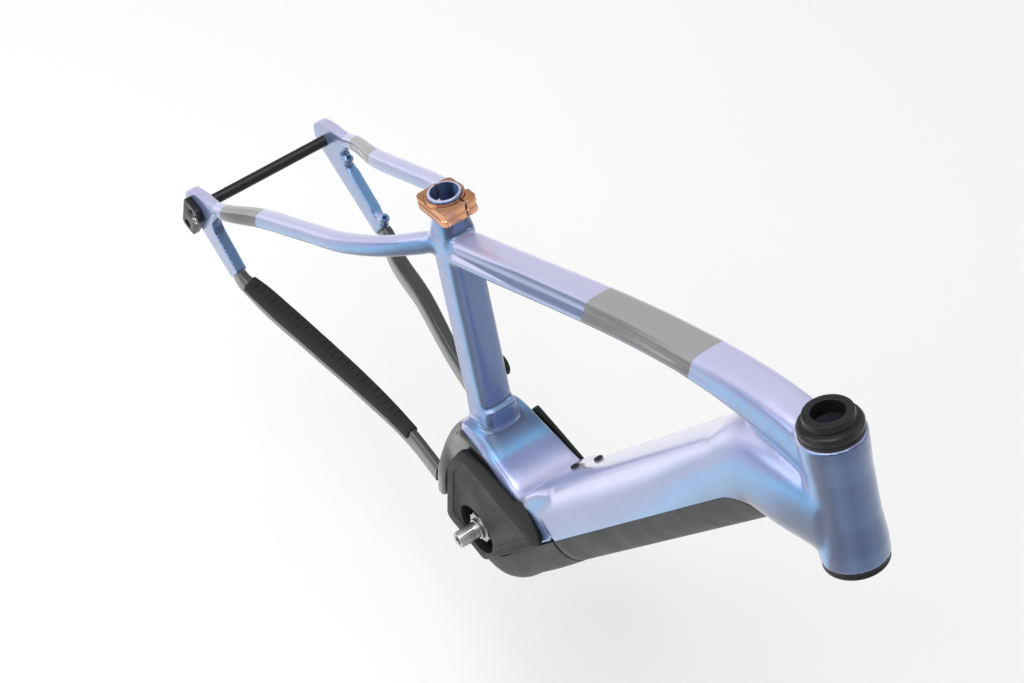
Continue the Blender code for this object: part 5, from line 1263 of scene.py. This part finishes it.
def makeSkidPlate():
    s, d = drive, downTube
    turn, back = skidTurn(), Vector((-1, 0, 0))
    rise = s["skidBend"] * math.tan(math.radians(lines["downAngle"] / 4))
    width, depth = d["halfWidth"], d["halfDepth"]
    seam = battery["coverStart"] - s["skidGap"]
    places = [(downAt(seam), d["power"]), (downAt(0.80 * d["start"]), 3.6), (downAt(0.60 * d["start"]), 4.2),
              (downAt(0.25 * d["start"]), 4.2), (turn + downAxis * s["skidBend"], 4.2),
              (turn + (back + downAxis) * rise, 4.2), (turn + back * s["skidBend"], 4.2),
              (turn + back * s["skidLength"], 4.2)]
    guide = [row(place, width, depth, power) for place, power in places]
    rows = fillRows(guide[::-1], 6)
    share = np.linspace(0, len(guide) - 1, len(rows))
    edges = np.interp(share, [0, 1, 2, 3, len(guide) - 1],
                      [0.6 * depth, legEdge, legEdge + 0.8 * rise, legEdge, legEdge])
    obj = objectOf(trough("skid_shell", rows, edges, battery["coverWall"]))
    vents = []
    for i in range(s["vents"]):
        place = turn + back * (s["ventStart"] + i * s["ventPitch"]) + Vector((0, 0, -depth))
        vents.append(block("vent", (s["ventWidth"], s["ventLength"], 0.02), Matrix.Translation(place)))
    boolean(obj, vents)
    # a tongue reaches under the battery's cover and closes the gap between them
    rows = [downRow(seam + along, inset) for along, inset in s["tongue"]]
    tongue = objectOf(trough("tongue", rows, [legEdge + s["tongueWall"]] * len(rows), s["tongueWall"]))
    # its lower part is shorter, to leave room for the pack's foot as it swings
    size, (reach, drop) = 0.1, s["tongueRoom"]
    room = block("room", (size, size, size), downMatrix(seam + reach + 0.5 * size, drop + 0.5 * size))
    boolean(obj, [takeMesh(boolean(tongue, [room]))], "UNION")
    softEdges(obj, 0.0005)
    dress(obj, "coverPlastic", "frame", "skid_plate")


def makeSpindle():
    s = drive
    shoulder = bracket["cheekOuter"] + s["coverDepth"]
    half, radius = s["spindleHalf"], s["spindleRadius"]
    bore, floor = s["boreRadius"], half - s["boreDepth"]
    profile = [(0.0, floor), (bore, floor), (bore, half - s["boreEdge"]), (bore + s["boreEdge"], half),
               (0.72 * radius, half), (0.80 * radius, shoulder + gap), (radius, shoulder)]
    profile = profile + [(r, -h) for r, h in profile[::-1]]
    obj = objectOf(turned("spindle_shaft", profile, Matrix.Identity(4), 72, 0.0003))
    length = 0.72 * (half - shoulder)
    tooth = (*s["spline"], length)
    for way in (1, -1):
        level = way * (half - s["splineEnd"] - 0.5 * length)
        grown(obj, trees["teeth"], softBlock("tooth", tooth, 0.0002), Count=s["splines"],
              Radius=0.735 * radius, Level=(0.0, 0.0, level), Material=materials["steel"])
    obj.data.transform(onAxis(Vector(), side))
    dress(obj, "steel", "crank", "crank_spindle")
    start, width, hub = s["halfWidth"] + runGap, s["hubWidth"], s["hubRadius"]
    step = start + 0.5 * width
    profile = [(0.82 * hub, start + width), (0.82 * hub, step), (hub, step), (hub, start),
               (radius + gap, start), (radius + gap, start + width)]
    obj = objectOf(turned("hub_ring", profile, Matrix.Identity(4), 96, 0.0004))
    grown(obj, trees["teeth"], softBlock("lug", (*s["lug"], 0.42 * width), 0.0004), Count=s["lugs"],
          Radius=0.82 * hub, Level=(0.0, 0.0, start + 0.74 * width), Material=materials["steel"])
    obj.data.transform(onAxis(Vector(), -side))
    dress(obj, "steel", "crank", "output_hub")


def makeMotorBolts():
    s, b = motorBolt, bracket
    ledge = seatAt(seatTube["base"]).z - 2.4 * b["thick"]
    spots = {"front": flat(downAt(0.66 * downTube["start"], -0.30 * downTube["halfDepth"])),
             "rear": Vector((-0.62 * b["yokeBack"], 0.5 * (b["yokeTop"] + ledge) - s["drop"]))}
    places = [(Vector((p.x, k * (b["cheekOuter"] + gap), p.y)), side * k, Vector((1, 0, 0)))
              for p in spots.values() for k in (1, -1)]
    length = b["cheekOuter"] + gap - drive["halfWidth"] + s["grip"] - gap
    screw = socketScrew(s["head"], s["height"], s["radius"], length, 1.1 * s["head"])
    screws("motor_screws", places, screw, "steel", "frame", "motor_bolt_front_left",
           "motor_bolt_front_right", "motor_bolt_rear_left", "motor_bolt_rear_right")


makeSideCovers()
makeSkidPlate()
makeSpindle()
makeMotorBolts()
print("drive unit dressed")

# battery: cover, pack and lock
bottle = {"start": 0.2016, "spacing": 0.064, "radius": 0.0024, "head": 0.0046, "height": 0.0032}
pack = {"clearance": 0.0015, "pivotStart": 0.1530, "pivotDrop": 0.0335, "pivotRadius": 0.0022,
        "lugRadius": 0.0052, "lugHalf": 0.0075, "camHalf": 0.0042, "camHold": 0.0045,
        "seams": (0.035, 0.965), "seamInset": 0.0010, "endInset": 0.0016}


def makeBatteryCover():
    s = battery
    span = coverEnd - s["coverStart"]
    places = [(s["coverStart"] + span * share, legEdge) for share in np.linspace(0, 0.99, 24)]
    places += [(along - gap, drop + gap) for along, drop in noseLine()]
    rows = [downRow(along) for along, _ in places]
    obj = objectOf(trough("cover_shell", rows, [edge for _, edge in places], s["coverWall"]))
    softEdges(obj, 0.0006)
    dress(obj, "coverPlastic", "battery", "battery_cover")


def makePack():
    s = pack
    inset = downTube["wall"] + s["clearance"]
    length = battery["length"]
    shares = [(0.0, s["endInset"]), (0.004, 0.0), (0.996, 0.0), (1.0, s["endInset"])]
    for seam in s["seams"]:
        shares += [(seam - 0.002, 0.0), (seam, s["seamInset"]), (seam + 0.002, 0.0)]
    rows = [downRow(battery["start"] + length * share, inset + more) for share, more in sorted(shares)]
    obj = objectOf(loft("pack_shell", rows, 72))
    pivot = downAt(s["pivotStart"], s["pivotDrop"])
    arm = 2 * (battery["start"] - s["pivotStart"])
    armBlock = block("arm", (arm, 2 * s["lugHalf"] - 2 * gap, 1.6 * s["lugRadius"]),
                     downMatrix(s["pivotStart"] + 0.5 * arm, s["pivotDrop"] - 0.2 * s["lugRadius"]))
    boolean(obj, [rod("lug", pivot, side, s["lugRadius"], 2 * s["lugHalf"], 40), armBlock], "UNION")
    camLength = lock["gap"] + 0.5 * lock["length"] + s["camHold"]
    room = s["camHalf"] + 2 * runGap
    sweep = math.sqrt(camLength ** 2 - (camLength - s["camHold"]) ** 2)
    pocket = block("pocket", (2 * s["camHold"] + 4 * runGap, 2 * room, sweep + 3 * room),
                   downMatrix(batteryEnd, 0.5 * (-room - sweep), -s["camHalf"]))
    boolean(obj, [rod("pin", pivot, side, s["pivotRadius"] + runGap, 0.06, 32), pocket])
    dress(obj, "motorPlastic", "battery", "battery_pack")


def makeLock():
    s = lock
    face = downTube["halfWidth"] + runGap
    radius, sunk = s["radius"], face - 0.0006
    profile = [(0.0, sunk), (0.72 * radius, sunk), (0.80 * radius, face), (radius, face), (radius, gap),
               (0.0, gap)]
    obj = objectOf(turned("lock_plug", profile, onAxis(downAt(lockMiddle), side), 56, 0.0003))
    width, height, deep = s["slot"]
    slot = block("slot", (width, deep, height), Matrix.Translation(downAt(lockMiddle, 0, face)))
    boolean(obj, [slot])
    dress(obj, "bareAlloy", "key_cylinder", "lock_cylinder")


def makeBottleBolts():
    s = bottle
    places = [(downAt(along, -downTube["halfDepth"] - gap), -downNormal, downAxis)
              for along in (s["start"], s["start"] + s["spacing"])]
    head = s["head"]
    screw = socketScrew(head, s["height"], s["radius"], downTube["wall"], 1.05 * head, 0.3 * head)
    screws("bottle_screws", places, screw, "blackAlloy", "frame", "bottle_bolt_lower", "bottle_bolt_upper")


makeBatteryCover()
makePack()
makeLock()
makeBottleBolts()
print("battery made")

# rear axle, hanger, guard and charge port
hanger = {"thickness": 0.0070, "drop": 0.0290, "back": 0.0090, "eye": 0.0120, "corner": 0.0060,
          "boltRadius": 0.0024}
guard = {"edge": 0.25, "bars": 0.0085, "bar": (0.0034, 0.0100, 0.0022)}


def makeAxle():
    s = rearEnd
    left = 0.5 * s["spacing"] + s["thickness"] + gap
    right = -(0.5 * s["spacing"] + s["thickness"] + hanger["thickness"])
    profile = [(s["axleHead"], left + s["axleHeadHeight"]), (s["axleHead"], left), (s["axleRadius"], left),
               (s["axleRadius"], right), (s["axleBore"], right), (s["axleBore"], left + s["axleHeadHeight"])]
    obj = objectOf(turned("axle_shaft", profile, Matrix.Identity(4), 64, 0.0006))
    boolean(obj, [hexRod("socket", 0.0080, left - 0.002, left + 0.02)])
    obj.data.transform(onAxis(axle, side))
    dress(obj, "blackAlloy", "rear_axle", "thru_axle")


def makeHanger():
    s, r = hanger, rearEnd
    face = -(0.5 * r["spacing"] + r["thickness"] + gap)
    top = flat(axle)
    foot = top + Vector((-s["back"], -s["drop"]))
    eye = s["eye"]
    corners = [top + Vector((-eye, eye)), foot + Vector((-eye, -0.8 * eye)),
               foot + Vector((0.9 * eye, -0.8 * eye)), top + Vector((1.5 * eye, 0.0)),
               top + Vector((eye, eye))]
    outline = rounded(corners, s["corner"])
    obj = objectOf(plate("hanger_plate", outline, face - s["thickness"], face))
    softEdges(obj, 0.0008, 3)
    bolt = axle + Vector((1.02 * eye, 0, 0)) + side * face
    holes = [rod("axleHole", axle + side * face, side, r["axleRadius"] + gap, 0.04, 48),
             rod("thread", Vector((foot.x, face, foot.y)), side, 0.42 * eye, 0.04, 48),
             rod("boltHole", bolt, side, s["boltRadius"] + gap, 0.024, 32)]
    boolean(obj, holes)
    softEdges(obj, 0.0003)
    dress(obj, "blackAlloy", "frame", "derailleur_hanger")
    screw = socketScrew(1.7 * s["boltRadius"], s["boltRadius"], s["boltRadius"],
                        s["thickness"] + 0.9 * r["thickness"] - gap, 1.7 * s["boltRadius"])
    places = [(bolt - side * (s["thickness"] + gap), -side, Vector((1, 0, 0)))]
    screws("hanger_screw", places, screw, "steel", "frame", "hanger_bolt")


def makeGuard():
    s, c = guard, chainstay
    coarse = chainstayRows(-1, rearEnd["rightArm"], 2)[3:11]
    rows = fillRows(coarse, 8)
    edges = [s["edge"] * c["height"]] * len(rows)
    obj = objectOf(trough("guard_pad", rows, edges, c["guardWall"], gap, True))
    softEdges(obj, 0.0003)
    dress(obj, "rubber", "frame", "chainstay_guard")
    tangents = np.gradient(rows[:, :3], axis=0)
    line = []
    for values, tangent in zip(rows[6:-6], tangents[6:-6]):
        forward = Vector(tangent).normalized()
        up = forward.cross((side - forward * forward.y).normalized())
        line.append(Vector(values[:3]) + up * (values[4] + gap + c["guardWall"]))
    path = bpy.data.meshes.new("guard_bars")
    path.from_pydata(line, [(i, i + 1) for i in range(len(line) - 1)], [])
    bars = objectOf(path)
    grown(bars, trees["path"], softBlock("bar", s["bar"], 0.0009, 3), Spacing=s["bars"],
          Upwards=(0.0, 0.0, 1.0), Material=materials["rubber"])
    dress(bars, "rubber", "frame")


def makeCharge():
    s = charge
    matrix = onAxis(seatAt(s["length"]) + side * (seatTube["half"] + gap), side)
    inner, floor = 0.75 * s["barrel"], -0.85 * s["depth"]
    profile = [(0.0, floor), (inner, floor), (inner, s["flangeHeight"]), (s["flange"], s["flangeHeight"]),
               (s["flange"], 0.0), (s["barrel"], 0.0), (s["barrel"], -s["depth"]), (0.0, -s["depth"])]
    obj = objectOf(turned("charge_cup", profile, matrix, 64, 0.0004))
    dress(obj, "blackAlloy", "frame", "charge_socket")
    low = s["flangeHeight"] + gap
    profile = [(0.0, low + 0.80 * s["cap"]), (0.55 * s["flange"], low + 0.80 * s["cap"]),
               (0.62 * s["flange"], low + s["cap"]), (0.86 * s["flange"], low + s["cap"]),
               (s["flange"], low + 0.5 * s["cap"]), (s["flange"], low), (0.0, low)]
    obj = objectOf(turned("charge_lid", profile, matrix, 64, 0.0004))
    dress(obj, "rubber", "charge_flap", "charge_cap")


makeAxle()
makeHanger()
makeGuard()
makeCharge()
print("rear end and charge port made")

# the pieces inside keep their own shape
inside = {"upper_bearing": "steel", "lower_bearing": "steel", "compression_ring": "bareAlloy",
          "battery_pivot": "steel", "battery_socket": "motorPlastic", "lock_body": "motorCasting",
          "lock_cam": "steel", "drive_unit": "motorCasting", "spindle_bearing_left": "steel",
          "spindle_bearing_right": "steel"}
for name, finish in inside.items():
    node = frame["nodes"][name]
    node.data.materials.clear()
    node.data.materials.append(materials[finish])
print("inner pieces finished:", len(inside))

# stage, light and camera
stage = {"floor": -0.312, "size": 12.0, "colour": (0.975, 0.975, 0.978)}
view = {"place": (1.1847, -0.9326, 2.4854), "up": (-0.7241, 0.5062, 0.4685), "aim": (-0.02, 0.0, 0.265),
        "lens": 102.0}


def makeFloor():
    work = bmesh.new()
    bmesh.ops.create_grid(work, x_segments=1, y_segments=1, size=stage["size"])
    floor = objectOf(meshOf("studio_floor", work))
    floor.location = (0, 0, stage["floor"])
    material, _, shader = newMaterial("floorPaper", 0.9)
    shader.inputs["Base Color"].default_value = (*stage["colour"], 1)
    floor.data.materials.append(material)


def makeLight(name, place, size, power):
    light = bpy.data.lights.new(name, "AREA")
    light.shape = "RECTANGLE"
    light.size, light.size_y = size
    light.energy = power
    obj = objectOf(light)
    obj.location = place
    obj.rotation_mode = "QUATERNION"
    obj.rotation_quaternion = (Vector((0, 0, 0.25)) - Vector(place)).to_track_quat("-Z", "Y")
    return obj


makeFloor()
makeLight("softbox_top", (-0.4, -0.6, 2.9), (2.6, 2.0), 45)
makeLight("softbox_side", (-0.8, -2.6, 1.5), (2.4, 1.4), 28)
makeLight("softbox_far", (1.4, 2.4, 1.8), (2.0, 1.4), 14)
world = bpy.data.worlds.new("studio")
world.use_nodes = True
scene.world = world
back = world.node_tree.nodes["Background"]
back.inputs["Color"].default_value = (1, 1, 1, 1)
back.inputs["Strength"].default_value = 0.51
camera = objectOf(bpy.data.cameras.new("photo_camera"))
camera.data.lens = view["lens"]
camera.data.sensor_width = 36.0
camera.location = view["place"]
look = (Vector(view["aim"]) - Vector(view["place"])).normalized()
right = look.cross(Vector(view["up"])).normalized()
upright = right.cross(look)
camera.rotation_mode = "QUATERNION"
camera.rotation_quaternion = Matrix((right, upright, -look)).transposed().to_quaternion()
scene.camera = camera
print("stage ready")
